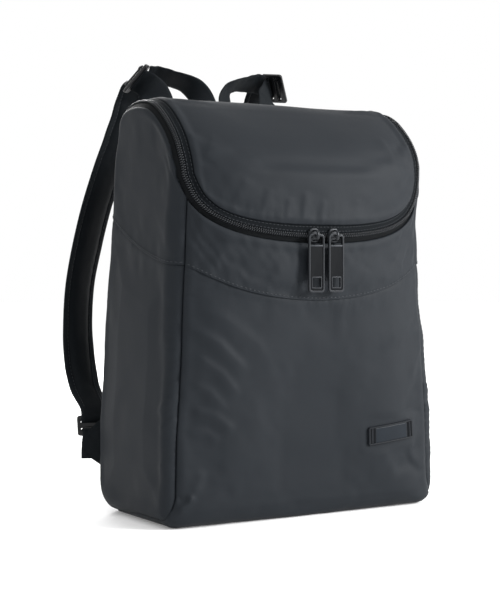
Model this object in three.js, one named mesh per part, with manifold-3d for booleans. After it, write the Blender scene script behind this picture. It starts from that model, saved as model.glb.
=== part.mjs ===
// Anti theft backpack: a soft compact daypack with a lid that is closed by one long curved zip.
// Millimetres, +Z up. The bag stands on its base at Z = 0. The front faces -Y, the straps are at +Y.
import * as THREE from 'three';
import { mergeVertices } from 'three/addons/utils/BufferGeometryUtils.js';
import Module from 'manifold-3d';

// ---------------------------------------------------------------- driving dimensions
const CLOTH = 2.0;          // wall of the outer fabric with its lining
const BACK_PAD = 8.0;       // padded back panel
const TAPE = 1.4;           // zip tape
const CHAIN = 2.2;          // closed zip teeth
const GAP = 0.34;           // between pieces, across each seam
const SEAM_IN = 10.5;       // front seam, inside the half width
const BACK_SEAM_IN = 8.0;   // back seam, inside the half width
const BASE_SEAM_IN = 3.2;   // seam along the bottom: the base wraps up onto the side panels
const BASE_FRONT_Y = -52;   // seam under the bag, front panel to base
const BASE_BACK_Y = 36;     // seam under the bag, base to back panel
const YOKE_FRONT_Z = 227;   // arc seam where it meets the front seam
const YOKE_BACK_Z = 277;    // arc seam where it meets the back seam

// Middle line of the bag from the back of the base, up the back, over the top and down the front:
// y, z; flat = half of the width that stays flat; depth = how far the side edge lies behind the middle.
const PROFILE = [
  { y: -10, z: 0, flat: 131, depth: 16 }, { y: 16, z: 0, flat: 131, depth: 16 }, { y: 36, z: 0, flat: 131, depth: 16 },
  { y: 48, z: 0.8, flat: 129, depth: 16 }, { y: 59, z: 6, flat: 120, depth: 16 }, { y: 67.5, z: 19, flat: 110, depth: 16 },
  { y: 72, z: 44, flat: 95, depth: 16 }, { y: 74.5, z: 80, flat: 88, depth: 17 }, { y: 76, z: 140, flat: 85, depth: 18 },
  { y: 75.5, z: 190, flat: 85, depth: 18 }, { y: 73, z: 235, flat: 85, depth: 18 }, { y: 68, z: 285, flat: 90, depth: 17 },
  { y: 62, z: 317, flat: 95, depth: 16 }, { y: 55.5, z: 340, flat: 98, depth: 15 }, { y: 48.5, z: 357, flat: 100, depth: 14 },
  { y: 40, z: 368.5, flat: 100, depth: 14 }, { y: 30, z: 376, flat: 102, depth: 14 }, { y: 18, z: 380.2, flat: 104, depth: 14 },
  { y: 6, z: 381.5, flat: 104, depth: 14 }, { y: -7, z: 381, flat: 103, depth: 14 }, { y: -20, z: 378.5, flat: 98, depth: 14 },
  { y: -33, z: 373.5, flat: 88, depth: 15 }, { y: -44, z: 367.2, flat: 75, depth: 16.5 }, { y: -55, z: 359.7, flat: 60, depth: 18.5 },
  { y: -66, z: 351.2, flat: 45, depth: 22 }, { y: -77, z: 341, flat: 30, depth: 28 }, { y: -86, z: 329, flat: 15, depth: 34 },
  { y: -92, z: 314, flat: 5, depth: 38 }, { y: -94.8, z: 295, flat: 0, depth: 41 }, { y: -95.2, z: 270, flat: 0, depth: 45 },
  { y: -93.8, z: 232, flat: 10, depth: 44 }, { y: -91, z: 190, flat: 20, depth: 40 }, { y: -87, z: 140, flat: 40, depth: 30 },
  { y: -82, z: 80, flat: 60, depth: 22 }, { y: -77.8, z: 26, flat: 98, depth: 18 }, { y: -75.5, z: 12, flat: 110, depth: 17 },
  { y: -70.5, z: 3.6, flat: 125, depth: 16 }, { y: -61, z: 0, flat: 131, depth: 16 }, { y: -52, z: 0, flat: 131, depth: 16 },
  { y: -30, z: 0, flat: 131, depth: 16 }, { y: -10, z: 0, flat: 131, depth: 16 },
];
// Half width of the bag by height.
const HALF_WIDTH = [
  { z: 0, w: 147.5 }, { z: 30, w: 147.6 }, { z: 80, w: 146.4 }, { z: 140, w: 142.2 }, { z: 190, w: 139.2 }, { z: 232, w: 137.0 },
  { z: 282, w: 135.3 }, { z: 310, w: 136.0 }, { z: 340, w: 137.5 }, { z: 360, w: 139.2 }, { z: 382, w: 140.2 },
];
// Curved zip, half of it, from the middle of the front outwards: zLid, xLid = edge of the tape beside the lid;
// zBody, xBody = edge beside the body. Heights are those of the middle line.
const ZIP_FRONT = [
  { zLid: 263.6, xLid: 0, zBody: 248.8, xBody: 0 }, { zLid: 264.0, xLid: 28, zBody: 249.6, xBody: 30 },
  { zLid: 265.6, xLid: 51, zBody: 252.0, xBody: 56 }, { zLid: 268.4, xLid: 71, zBody: 256.6, xBody: 80 },
  { zLid: 272.6, xLid: 87, zBody: 263.4, xBody: 99 }, { zLid: 278.4, xLid: 99.5, zBody: 272.2, xBody: 113 },
  { zLid: 285.6, xLid: 108, zBody: 281.5, xBody: 121.4 }, { zLid: 293.0, xLid: 113.4, zBody: 288.5, xBody: 125.2 },
  { zLid: 303, xLid: 117.6, zBody: 299.5, xBody: 129.2 }, { zLid: 314, xLid: 120.6, zBody: 311.5, xBody: 132.4 },
];
const ARCH_LID_X = 122.3, ARCH_BODY_IN = 1.9;   // the tape over the side arch: x of the lid edge, body edge inside the half width
const ZIP_END_Z = 352;                          // where the zip ends on the back, height of the middle line
// Arc seam across the front: x, z of the middle line.
const YOKE_SEAM = [
  { x: 0, z: 197 }, { x: 30, z: 198.6 }, { x: 58, z: 202.4 }, { x: 82, z: 208 }, { x: 102, z: 215.4 }, { x: 116, z: 222 }, { x: 126.5, z: 227 },
];
const YOKE_SIDE_SAG = 9;    // how far the arc seam hangs below a straight line on the side panels
// Top slider and lower buckle on the left: centre; a = direction of its bars; b = direction of the strap through it.
const TOP_SLIDER = { x: -80.6, y: 112.4, z: 412.3, ax: -0.5, ay: 0.43, az: -0.75, bx: 0.577, by: 0.806, bz: 0.078, along: 35, across: 23, thick: 2.6, slot: 5.2, bar: 3.0 };
const LOW_SLIDER = { x: -136, y: 92.5, z: 75, ax: 0.93, ay: -0.36, az: 0, bx: 0.229, by: 0.59, bz: 0.774, along: 33, across: 22, thick: 2.6, slot: 5.0, bar: 3.0 };
// Straps on the left, middle line: x, y, z; w = direction across; width; thick. Rows with v and h lie in a slider:
// v along the strap's way through it, h above its plane, across its bars.
const TOP_WEB = [
  { x: -14.8, y: 77.3, z: 292, wx: -1, wy: 0, wz: 0, width: 24.4, thick: 1.6 }, { x: -14.7, y: 77.6, z: 320, wx: -1, wy: 0.06, wz: 0, width: 24.4, thick: 1.6 },
  { x: -14.0, y: 83.0, z: 350, wx: -0.97, wy: 0.22, wz: 0, width: 24.4, thick: 1.6 }, { x: -12.6, y: 90.8, z: 374, wx: -0.93, wy: 0.36, wz: 0.02, width: 23.4, thick: 1.6 },
  { x: -12.2, y: 96.8, z: 391, wx: -0.9, wy: 0.43, wz: 0.04, width: 22.6, thick: 1.6 }, { x: -17.6, y: 102.0, z: 401.7, wx: -0.8, wy: 0.6, wz: 0.05, width: 23.4, thick: 1.6 },
  { x: -26.9, y: 106.9, z: 409.5, wx: -0.62, wy: 0.78, wz: -0.05, width: 24.4, thick: 1.6 }, { x: -38.2, y: 111.6, z: 413.8, wx: -0.45, wy: 0.85, wz: -0.3, width: 24.4, thick: 1.6 },
  { x: -50.0, y: 114.4, z: 415.9, wx: -0.45, wy: 0.74, wz: -0.5, width: 24.4, thick: 1.6 }, { x: -60.1, y: 115.8, z: 416.4, wx: -0.48, wy: 0.58, wz: -0.66, width: 24.4, thick: 1.6 },
  { x: -67.0, y: 115.1, z: 415.7, wx: -0.5, wy: 0.46, wz: -0.73, width: 24.4, thick: 1.6 },
];
const STRAP = [
  { v: -4.1, h: 1.5, width: 25, thick: 1.8 }, { v: -4.1, h: -0.6, width: 25, thick: 1.8 }, { v: -3.2, h: -2.9, width: 25, thick: 1.8 },
  { v: -0.6, h: -4.2, width: 25, thick: 2 }, { v: 5, h: -4.6, width: 25.4, thick: 2.2 }, { v: 13, h: -4.6, width: 26, thick: 2.4 },
  { x: -74.5, y: 133.5, z: 409, wx: 0.6, wy: -0.4, wz: 0.7, width: 25.6, thick: 2.6 }, { x: -74, y: 141, z: 396, wx: 0.64, wy: -0.3, wz: 0.7, width: 27, thick: 3.2 },
  { x: -77, y: 146, z: 377, wx: 0.85, wy: -0.05, wz: 0.5, width: 30, thick: 4.6 }, { x: -82.5, y: 150, z: 352, wx: 0.97, wy: 0.14, wz: 0.2, width: 36, thick: 6 },
  { x: -92, y: 153.5, z: 322, wx: 0.95, wy: 0.3, wz: 0.05, width: 41, thick: 6 }, { x: -102.5, y: 156.5, z: 288, wx: 0.92, wy: 0.38, wz: 0, width: 43, thick: 6 },
  { x: -112, y: 158, z: 250, wx: 0.91, wy: 0.41, wz: 0, width: 44, thick: 6 }, { x: -120.5, y: 157.5, z: 210, wx: 0.9, wy: 0.42, wz: 0, width: 43, thick: 6 },
  { x: -125.5, y: 152.5, z: 170, wx: 0.92, wy: 0.38, wz: 0, width: 41, thick: 6 }, { x: -128.5, y: 142.0, z: 136, wx: 0.97, wy: 0.22, wz: 0, width: 37, thick: 6 },
  { x: -130.8, y: 126.0, z: 110, wx: 0.99, wy: -0.1, wz: 0, width: 31, thick: 4.6 },
  { v: 18, h: 3.6, width: 26, thick: 2.6 }, { v: 11, h: 3.5, width: 25, thick: 2.0 }, { v: 6.2, h: 2.9, width: 25, thick: 1.8 }, { v: 4.05, h: 0.4, width: 25, thick: 1.8 }, { v: 4.05, h: -1.6, width: 25, thick: 1.8 },
];
const STRAP_TOP_ROWS = 6;     // rows of the strap that lie in the top slider
const RISER = [
  { v: 4.05, h: -1.5, width: 25, thick: 1.8 }, { v: 4.05, h: 0.6, width: 25, thick: 1.8 }, { v: 4.9, h: 3.2, width: 25, thick: 1.8 },
  { x: -70.6, y: 109.3, z: 406.1, wx: -0.66, wy: 0.36, wz: -0.64, width: 27, thick: 1.8 }, { x: -66.6, y: 103.2, z: 398.5, wx: -0.86, wy: 0.25, wz: -0.42, width: 31, thick: 1.8 },
  { x: -66.2, y: 95.4, z: 386.3, wx: -0.97, wy: 0.12, wz: -0.18, width: 35, thick: 1.8 }, { x: -67.0, y: 85.9, z: 370, wx: -1, wy: 0, wz: -0.05, width: 37, thick: 1.8 },
  { x: -67.5, y: 77.5, z: 351, wx: -1, wy: -0.02, wz: 0, width: 37, thick: 1.8 }, { x: -67.5, y: 72.4, z: 332, wx: -1, wy: -0.03, wz: 0, width: 37, thick: 1.8 },
  { x: -67.5, y: 73.0, z: 306, wx: -1, wy: -0.04, wz: 0, width: 37, thick: 1.8 },
];
const LOWER_WEB = [
  { v: -4.05, h: -1.5, width: 25, thick: 1.6 }, { v: -4.05, h: 0.5, width: 25, thick: 1.6 }, { v: -6.4, h: 3.0, width: 25, thick: 1.6 },
  { x: -139.6, y: 84.4, z: 69.0, wx: 0.92, wy: -0.4, wz: 0, width: 23, thick: 1.6 }, { x: -143.6, y: 79.6, z: 63.0, wx: 0.88, wy: -0.48, wz: 0, width: 21, thick: 1.6 },
  { x: -146.4, y: 76.4, z: 55, wx: 0.85, wy: -0.53, wz: 0, width: 20, thick: 1.6 }, { x: -146.8, y: 75.7, z: 46, wx: 0.85, wy: -0.53, wz: 0, width: 20, thick: 1.6 },
];
// Left anchor tab, sewn along the bottom of the back seam: x, y, z of its corners.
const TAB = [{ x: -140.4, y: 68.6, z: 37 }, { x: -155.7, y: 78.1, z: 52 }, { x: -155.7, y: 78.1, z: 68 }, { x: -140.4, y: 68.6, z: 88 }];
// Zip sliders and pulls: x of each, left then right.
const PULL_X = [-11.0, 10.1];
const PULL = { length: 52, width: 16.6, thick: 2.4, round: 3.2, eye: 7.4, eyeLow: 2.0, window: 8.6, windowUp: 4.6, axle: 6.0 };
const BAIL = { wide: 3.2, high: 9.0, hole: 4.4, wall: 1.5 };   // bridge of a zip slider that holds its pull
const LABEL = { x: 86.4, z: 71.6, width: 54, height: 17.6, thick: 2.0, round: 2.2, tilt: 4.4 };

// ---------------------------------------------------------------- materials
const mat = (name, color, roughness, metalness = 0) => Object.assign(new THREE.MeshStandardMaterial({ color, roughness, metalness }), { name });
const M = {
  shell: mat('shell', 0x4a4e53, 0.72), back: mat('back', 0x2a2c2f, 0.85), web: mat('webbing', 0x16181b, 0.7),
  tape: mat('tape', 0x1d1f22, 0.8), chain: mat('chain', 0x2b2d30, 0.5), pull: mat('pull', 0x222427, 0.45, 0.2),
  plastic: mat('plastic', 0x121315, 0.4), label: mat('label', 0x1f2226, 0.55),
};
const group = new THREE.Group();

// ---------------------------------------------------------------- curves
const lerp = (a, b, t) => a + (b - a) * t;
function look(table, key, value, k) {
  if (k <= table[0][key]) return table[0][value];
  for (let i = 1; i < table.length; i++) {
    if (k <= table[i][key]) return lerp(table[i - 1][value], table[i][value], (k - table[i - 1][key]) / (table[i][key] - table[i - 1][key]));
  }
  return table[table.length - 1][value];
}
// Smooth numbers through the rows of a table (Catmull-Rom), t from 0 to rows - 1.
function smooth(table, t, keys) {
  const n = table.length - 1, i = Math.min(n - 1, Math.max(0, Math.floor(t))), f = t - i, out = {};
  for (const k of keys) {
    const p1 = table[i][k], p2 = table[i + 1][k];
    const p0 = i > 0 ? table[i - 1][k] : 2 * p1 - p2, p3 = i + 2 <= n ? table[i + 2][k] : 2 * p2 - p1;
    out[k] = 0.5 * (2 * p1 + (p2 - p0) * f + (2 * p0 - 5 * p1 + 4 * p2 - p3) * f * f + (3 * p1 - p0 - 3 * p2 + p3) * f * f * f);
  }
  return out;
}
// The middle line, finely sampled, with its arc length s.
const FINE = 8, LINE = [];
for (let i = 0; i <= (PROFILE.length - 1) * FINE; i++) {
  const p = smooth(PROFILE, i / FINE, ['y', 'z', 'flat', 'depth']);
  const k = Math.min(PROFILE.length - 2, Math.floor(i / FINE));
  if (PROFILE[k].z === 0 && PROFILE[k + 1].z === 0) p.z = 0;
  p.z = Math.max(0, p.z);
  p.s = i ? LINE[i - 1].s + Math.hypot(p.y - LINE[i - 1].y, p.z - LINE[i - 1].z) : 0;
  LINE.push(p);
}
const TOTAL = LINE[LINE.length - 1].s;
for (let i = 0; i < LINE.length; i++) {
  const a = LINE[Math.max(0, i - 1)], b = LINE[Math.min(LINE.length - 1, i + 1)], l = Math.hypot(b.y - a.y, b.z - a.z);
  LINE[i].ny = (b.z - a.z) / l; LINE[i].nz = -(b.y - a.y) / l;   // outward
}
function at(s) {
  let lo = 0, hi = LINE.length - 1;
  while (hi - lo > 1) { const m = (lo + hi) >> 1; if (LINE[m].s <= s) lo = m; else hi = m; }
  const a = LINE[lo], b = LINE[hi], f = (s - a.s) / (b.s - a.s), o = {};
  for (const k of ['y', 'z', 'flat', 'depth', 'ny', 'nz']) o[k] = lerp(a[k], b[k], f);
  return o;
}
const TOP = LINE.reduce((m, p, i) => (p.z > LINE[m].z ? i : m), 0);
// Arc length of the middle line at a height on the front or on the back.
function sFront(z) { for (let i = TOP; i < LINE.length - 1; i++) if (LINE[i].z >= z && LINE[i + 1].z < z) return lerp(LINE[i].s, LINE[i + 1].s, (LINE[i].z - z) / (LINE[i].z - LINE[i + 1].z)); return LINE[LINE.length - 1].s; }
function sBack(z) { for (let i = TOP; i > 0; i--) if (LINE[i].z >= z && LINE[i - 1].z < z) return lerp(LINE[i].s, LINE[i - 1].s, (LINE[i].z - z) / (LINE[i].z - LINE[i - 1].z)); return 0; }
function sBase(y) { for (let i = 0; i < LINE.length - 1; i++) if (LINE[i].z <= 0.001 && LINE[i + 1].z <= 0.001 && (LINE[i].y - y) * (LINE[i + 1].y - y) <= 0) return lerp(LINE[i].s, LINE[i + 1].s, (y - LINE[i].y) / (LINE[i + 1].y - LINE[i].y)); return 0; }
const halfWidth = (z) => look(HALF_WIDTH, 'z', 'w', z);

// Point of the bag's outer surface at arc length s and width x, and its outward normal.
function surf(s, x) {
  const c = at(s), w = halfWidth(c.z), t = Math.min(0.9995, Math.max(0, (Math.abs(x) - c.flat) / (w - c.flat)));
  const off = c.depth * (1 - Math.sqrt(1 - t * t));
  return [x, c.y - c.ny * off, c.z - c.nz * off];
}
function surfNormal(s, x) {
  const e = 0.6, a = surf(s - e, x), b = surf(s + e, x), c = surf(s, x - e), d = surf(s, x + e);
  const u = [b[0] - a[0], b[1] - a[1], b[2] - a[2]], v = [d[0] - c[0], d[1] - c[1], d[2] - c[2]];
  const n = [u[1] * v[2] - u[2] * v[1], u[2] * v[0] - u[0] * v[2], u[0] * v[1] - u[1] * v[0]], l = Math.hypot(...n);
  const q = at(s), sign = n[1] * q.ny + n[2] * q.nz + n[0] * Math.sign(x) * 0.2 > 0 ? 1 : -1;
  return n.map((k) => (sign * k) / l);
}
// x of the +X side panel above a point of its plane.
function side(y, z) {
  let best = 1e9, bi = 0;
  for (let i = 0; i < LINE.length; i++) { const d = (LINE[i].y - y) ** 2 + (LINE[i].z - z) ** 2; if (d < best) { best = d; bi = i; } }
  const p = LINE[bi], d = Math.max(0, (p.y - y) * p.ny + (p.z - z) * p.nz), w = halfWidth(z);
  const r = 1 - Math.min(1, d / p.depth);
  return p.flat + (w - p.flat) * Math.sqrt(Math.max(0, 1 - r * r));
}

// ---------------------------------------------------------------- solids
function addMesh(name, pos, idx, material) {
  let v = 0;
  for (let i = 0; i < idx.length; i += 3) {
    const [a, b, c] = [idx[i], idx[i + 1], idx[i + 2]].map((k) => pos[k]);
    v += a[0] * (b[1] * c[2] - b[2] * c[1]) - a[1] * (b[0] * c[2] - b[2] * c[0]) + a[2] * (b[0] * c[1] - b[1] * c[0]);
  }
  if (v < 0) for (let i = 0; i < idx.length; i += 3) [idx[i + 1], idx[i + 2]] = [idx[i + 2], idx[i + 1]];
  const g = new THREE.BufferGeometry();
  g.setAttribute('position', new THREE.Float32BufferAttribute(pos.flat(), 3));
  g.setIndex(idx);
  g.computeVertexNormals();
  const m = new THREE.Mesh(g, material);
  m.name = name;
  group.add(m);
  return m;
}
// Closed wall between two grids of points: rows x columns.
function wall(name, outer, inner, material) {
  const R = outer.length, C = outer[0].length, pos = [...outer.flat(), ...inner.flat()], idx = [], o = R * C;
  const quad = (a, b, c, d) => idx.push(a, b, c, a, c, d);
  for (let r = 0; r < R - 1; r++) for (let c = 0; c < C - 1; c++) {
    const k = r * C + c;
    quad(k, k + 1, k + C + 1, k + C);
    quad(o + k, o + k + C, o + k + C + 1, o + k + 1);
  }
  for (let r = 0; r < R - 1; r++) {
    quad(r * C, (r + 1) * C, o + (r + 1) * C, o + r * C);
    quad(r * C + C - 1, o + r * C + C - 1, o + (r + 1) * C + C - 1, (r + 1) * C + C - 1);
  }
  for (let c = 0; c < C - 1; c++) {
    quad(c, o + c, o + c + 1, c + 1);
    quad((R - 1) * C + c, (R - 1) * C + c + 1, o + (R - 1) * C + c + 1, o + (R - 1) * C + c);
  }
  return addMesh(name, pos, idx, material);
}
const push = (p, n, d) => [p[0] - n[0] * d, p[1] - n[1] * d, p[2] - n[2] * d];
// Wall over a grid of surface places [s, x].
function panel(name, grid, thick, material, rise = 0) {
  const n = grid.map((row) => row.map(([s, x]) => surfNormal(s, x)));
  const p = grid.map((row, r) => row.map(([s, x], c) => push(surf(s, x), n[r][c], -rise)));
  return wall(name, p, p.map((row, r) => row.map((q, c) => push(q, n[r][c], thick))), material);
}
const mirror = (rows) => rows.map((r) => r.map(([x, y, z]) => [-x, y, z]));
// Fill between four edges of 2-D points, with weights along each direction.
function fill(low, high, left, right, u, v) {
  return v.map((b, j) => u.map((a, i) => [0, 1].map((k) => (1 - b) * low[i][k] + b * high[i][k] + (1 - a) * left[j][k] + a * right[j][k]
    - ((1 - a) * (1 - b) * low[0][k] + a * (1 - b) * low[low.length - 1][k] + (1 - a) * b * high[0][k] + a * b * high[high.length - 1][k]))));
}
const frac = (n) => Array.from({ length: n }, (_, i) => i / (n - 1));

// ---------------------------------------------------------------- stations shared by neighbours
const COLS = [0, 0.04, 0.09, 0.16, 0.3, 0.5, 0.7, 0.84, 0.92, 0.965, 1];          // across the side panel, front to back
const ROWS_LOW = [0, 0.015, 0.037, 0.075, 0.16, 0.32, 0.52, 0.76, 1];              // up the lower side panel
const ROWS_UP = frac(8);                                                           // up the upper side panel
const sCornerF = sFront(7), sCornerB = sBack(8), sYokeF = sFront(YOKE_FRONT_Z), sYokeB = sBack(YOKE_BACK_Z), sEnd = sBack(ZIP_END_Z);
const sUnderF = sBase(BASE_FRONT_Y), sUnderB = sBase(BASE_BACK_Y);
const ease = (k) => { const c = Math.min(1, Math.max(0, k)); return c * c * (3 - 2 * c); };
const seamX = (s) => {
  const c = at(s), front = s > LINE[TOP].s && c.y < -20;
  return halfWidth(c.z) - (front ? lerp(BASE_SEAM_IN, SEAM_IN, ease(c.z / 30)) : lerp(BASE_SEAM_IN, BACK_SEAM_IN, ease((c.y + 20) / (BASE_BACK_Y + 20) + (c.z > 20 ? 1 : 0))));
};
// Ring of seam stations: down the front, under the base, up the back.
const ringFront = ROWS_LOW.map((f) => lerp(sCornerF, sYokeF, f));                  // bottom to arc seam
const baseRun = (TOTAL - sCornerF) + sCornerB;
const ringBase = COLS.map((f) => { const d = f * baseRun; return sCornerF + d < TOTAL ? sCornerF + d : sCornerF + d - TOTAL; });
const ringBack = ROWS_LOW.map((f) => lerp(sCornerB, sYokeB, f));
const ringBackUp = ROWS_UP.map((f) => lerp(sYokeB, sEnd, f));
// Zip stations from the back end (0) over the arch (10), past the top of the front seam (15) to the middle (24).
const zipRows = [];
for (let t = 0; t <= ZIP_FRONT.length - 1 + 1e-9; t += 1 / 6) {
  const q = smooth(ZIP_FRONT, t, ['zLid', 'xLid', 'zBody', 'xBody']);
  zipRows.push({ sl: sFront(q.zLid), xl: q.xLid, sb: sFront(q.zBody), xb: q.xBody });
}
const sArch0 = zipRows[zipRows.length - 1];
for (let k = 1; k <= 60; k++) {
  const f = k / 60, ease = Math.min(1, f * 6), sl = lerp(sArch0.sl, sEnd, f), sb = lerp(sArch0.sb, sEnd, f);
  zipRows.push({ sl, sb, xl: lerp(sArch0.xl, ARCH_LID_X, ease), xb: lerp(sArch0.xb, halfWidth(at(sb).z) - ARCH_BODY_IN, ease) });
}
const iSeamTop = zipRows.findIndex((r) => r.xb >= halfWidth(at(r.sb).z) - SEAM_IN), iArch = zipRows.findIndex((r) => at(r.sb).z > 338);
const run = [0];
for (let i = 1; i < zipRows.length; i++) { const a = surf(zipRows[i - 1].sb, zipRows[i - 1].xb), b = surf(zipRows[i].sb, zipRows[i].xb); run.push(run[i - 1] + Math.hypot(a[0] - b[0], a[1] - b[1], a[2] - b[2])); }
function zipAt(d) {
  let i = 1;
  while (i < run.length - 1 && run[i] < d) i++;
  const f = (d - run[i - 1]) / (run[i] - run[i - 1]), a = zipRows[i - 1], b = zipRows[i];
  return { sl: lerp(a.sl, b.sl, f), xl: lerp(a.xl, b.xl, f), sb: lerp(a.sb, b.sb, f), xb: lerp(a.xb, b.xb, f) };
}
const half = [];
for (let k = 0; k < 10; k++) half.push(zipAt(lerp(run[run.length - 1], run[iArch], k / 10)));
for (let k = 0; k < 5; k++) half.push(zipAt(lerp(run[iArch], run[iSeamTop], k / 5)));
for (let k = 0; k <= 9; k++) half.push(zipAt(lerp(run[iSeamTop], 0, k / 9)));
const place = (q, f, m = 1) => [lerp(q.sl, q.sb, f), m * lerp(q.xl, q.xb, f)];     // f: 0 at the lid, 1 at the body
const band = (f) => [...half.map((q) => place(q, f, -1)), ...half.slice(0, 24).reverse().map((q) => place(q, f, 1))];
const GF = 0.6 / 15;

// ---------------------------------------------------------------- shell panels
{
  const edge = band(-GF), u = frac(19), v = frac(16), hinge = sEnd + GAP;
  const top = u.map((a) => [hinge, lerp(edge[0][1], edge[48][1], a)]);
  edge[0] = top[0]; edge[48] = top[18];
  panel('lid_panel', fill(top, edge.slice(15, 34), edge.slice(0, 16), edge.slice(33).reverse(), u, v), CLOTH, M.shell);
}
const yokeLine = (x) => sFront(look(YOKE_SEAM, 'x', 'z', Math.abs(x)));
{
  const upper = band(1 + GF).slice(15, 34), u = frac(19), v = frac(5), xs = seamX(sYokeF) - GAP / 2;
  upper[0][1] += GAP; upper[18][1] -= GAP;
  const lower = u.map((a) => { const x = lerp(-xs, xs, a); return [yokeLine(x) - GAP / 2, x]; });
  const left = v.map((b) => [lerp(upper[0][0], lower[0][0], b), 0]).map(([s]) => [s, -(seamX(s) - GAP / 2)]);
  left[0] = upper[0];
  const right = left.map(([s, x]) => [s, -x]);
  panel('front_yoke', fill(upper, lower, left, right, u, v), CLOTH, M.shell);
  const rows = [...ringFront].reverse(), half2 = [0, 0.016, 0.036, 0.06, 0.1, 0.17, 0.26, 0.38], u2 = [...half2, 0.5, ...half2.map((k) => 1 - k).reverse()], xl = rows.map((s) => seamX(s) - GAP / 2);
  const under = [ringBase[1], ringBase[2], sUnderF - GAP / 2];
  const all = [...rows, ...under], grid = all.map((s, j) => u2.map((a) => {
    const w = (j < rows.length ? xl[j] : seamX(s) - GAP / 2), x = lerp(-w, w, a), drop = yokeLine(x) + GAP / 2 - sYokeF;
    return [s + (j < rows.length ? drop * (1 - j / (rows.length - 1)) ** 1.4 : 0), x];
  }));
  panel('front_panel', grid, CLOTH, M.shell);
  const baseS = [sUnderF + GAP / 2, TOTAL - 28, TOTAL - 12, 8, 26, sUnderB - GAP / 2];
  panel('base_panel', baseS.map((s) => u2.map((a) => { const w = seamX(s) - GAP / 2; return [s, lerp(-w, w, a)]; })), CLOTH, M.shell);
  const backS = [sUnderB + GAP / 2, ringBase[8], ringBase[9], ...ringBack, ...ringBackUp.slice(1)];
  backS[backS.length - 1] = sEnd - GAP;
  panel('back_panel', backS.map((s) => u2.map((a) => { const w = seamX(s) - GAP * (at(s).z < 40 ? 2 : 0.5); return [s, lerp(-w, w, a)]; })), BACK_PAD, M.back);
}
// Side panels, first on +X, then mirrored.
{
  const flatPoint = (s, x) => { const p = surf(s, x); return [p[1], p[2]]; };
  const seamPlace = (s) => [s, seamX(s) + GAP / 2];
  const exact = new Map();
  const key = (p) => p.map((k) => k.toFixed(4)).join();
  const edgePoint = ([s, x]) => { const p = flatPoint(s, x); exact.set(key(p), [s, x]); return p; };
  const lift = ([y, z]) => {
    const e = exact.get(key([y, z]));
    if (e) return { p: surf(...e), n: surfNormal(...e) };
    const h = 1.2, x = side(y, z), n = [1, -(side(y + h, z) - side(y - h, z)) / (2 * h), -(side(y, z + h) - side(y, z - h)) / (2 * h)], l = Math.hypot(...n);
    return { p: [x, y, z], n: n.map((k) => k / l) };
  };
  const yokeF = edgePoint([sYokeF, seamX(sYokeF) + GAP / 2]), yokeB = edgePoint([sYokeB, seamX(sYokeB) + GAP / 2]);
  const seam = COLS.map((f, i) => [lerp(yokeF[0], yokeB[0], f), lerp(yokeF[1], yokeB[1], f) - YOKE_SIDE_SAG * 4 * f * (1 - f)]);
  const shift = (dz) => seam.map(([y, z]) => [y, z + dz]);
  const build = (name, grid) => {
    const q = grid.map((r) => r.map(lift)), outer = q.map((r) => r.map((k) => k.p)), inner = q.map((r) => r.map((k) => push(k.p, k.n, CLOTH)));
    wall(name + '_right', outer, inner, M.shell);
    wall(name + '_left', mirror(outer), mirror(inner), M.shell);
  };
  // lower: from the base seam up to the arc seam
  const ds = GAP / 2;
  const leftL = ringFront.map((s, i) => edgePoint(seamPlace(i === ringFront.length - 1 ? s + ds : s)));
  const rightL = ringBack.map((s, i) => edgePoint(seamPlace(i === ringBack.length - 1 ? s - ds : s)));
  const lowL = ringBase.map((s) => edgePoint(seamPlace(s)));
  lowL[0] = leftL[0]; lowL[10] = rightL[0];
  const highL = shift(-ds); highL[0] = leftL[8]; highL[10] = rightL[8];
  build('gusset_lower', fill(lowL, highL, leftL, rightL, COLS, ROWS_LOW));
  // upper: from the arc seam to the zip
  const zipEdge = half.slice(0, 16).map((q) => place(q, 1 + GF));
  const zTop = zipEdge[15];
  const frontUp = [sYokeF - ds, lerp(sYokeF, zTop[0], 0.5)].map((s) => edgePoint(seamPlace(s)));
  const leftU = [...frontUp, edgePoint([zTop[0], zTop[1] + GAP / 2]), ...zipEdge.slice(10, 15).reverse().map(edgePoint)];
  const rightU = ringBackUp.map((s, i) => edgePoint(seamPlace(i === 0 ? s + ds : s)));
  const endPlace = edgePoint([zipEdge[0][0], zipEdge[0][1]]);
  rightU[7] = endPlace;
  const highU = zipEdge.slice(0, 11).reverse().map(edgePoint);
  highU[0] = leftU[7]; highU[10] = endPlace;
  const lowU = shift(ds); lowU[0] = leftU[0]; lowU[10] = rightU[0];
  build('gusset_upper', fill(lowU, highU, leftU, rightU, frac(11), ROWS_UP));
}

// ---------------------------------------------------------------- zip
{
  const strip = (name, f0, f1, thick, rise, material) => panel(name, [band(f0), band(f1)], thick, material, rise);
  strip('zip_tape_lid', 0.0, 0.42, TAPE, 0.2, M.tape);
  strip('zip_chain', 0.45, 0.7, CHAIN, 1.2, M.chain);
  strip('zip_tape_body', 0.73, 1.0, TAPE, 0.2, M.tape);
}

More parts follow.
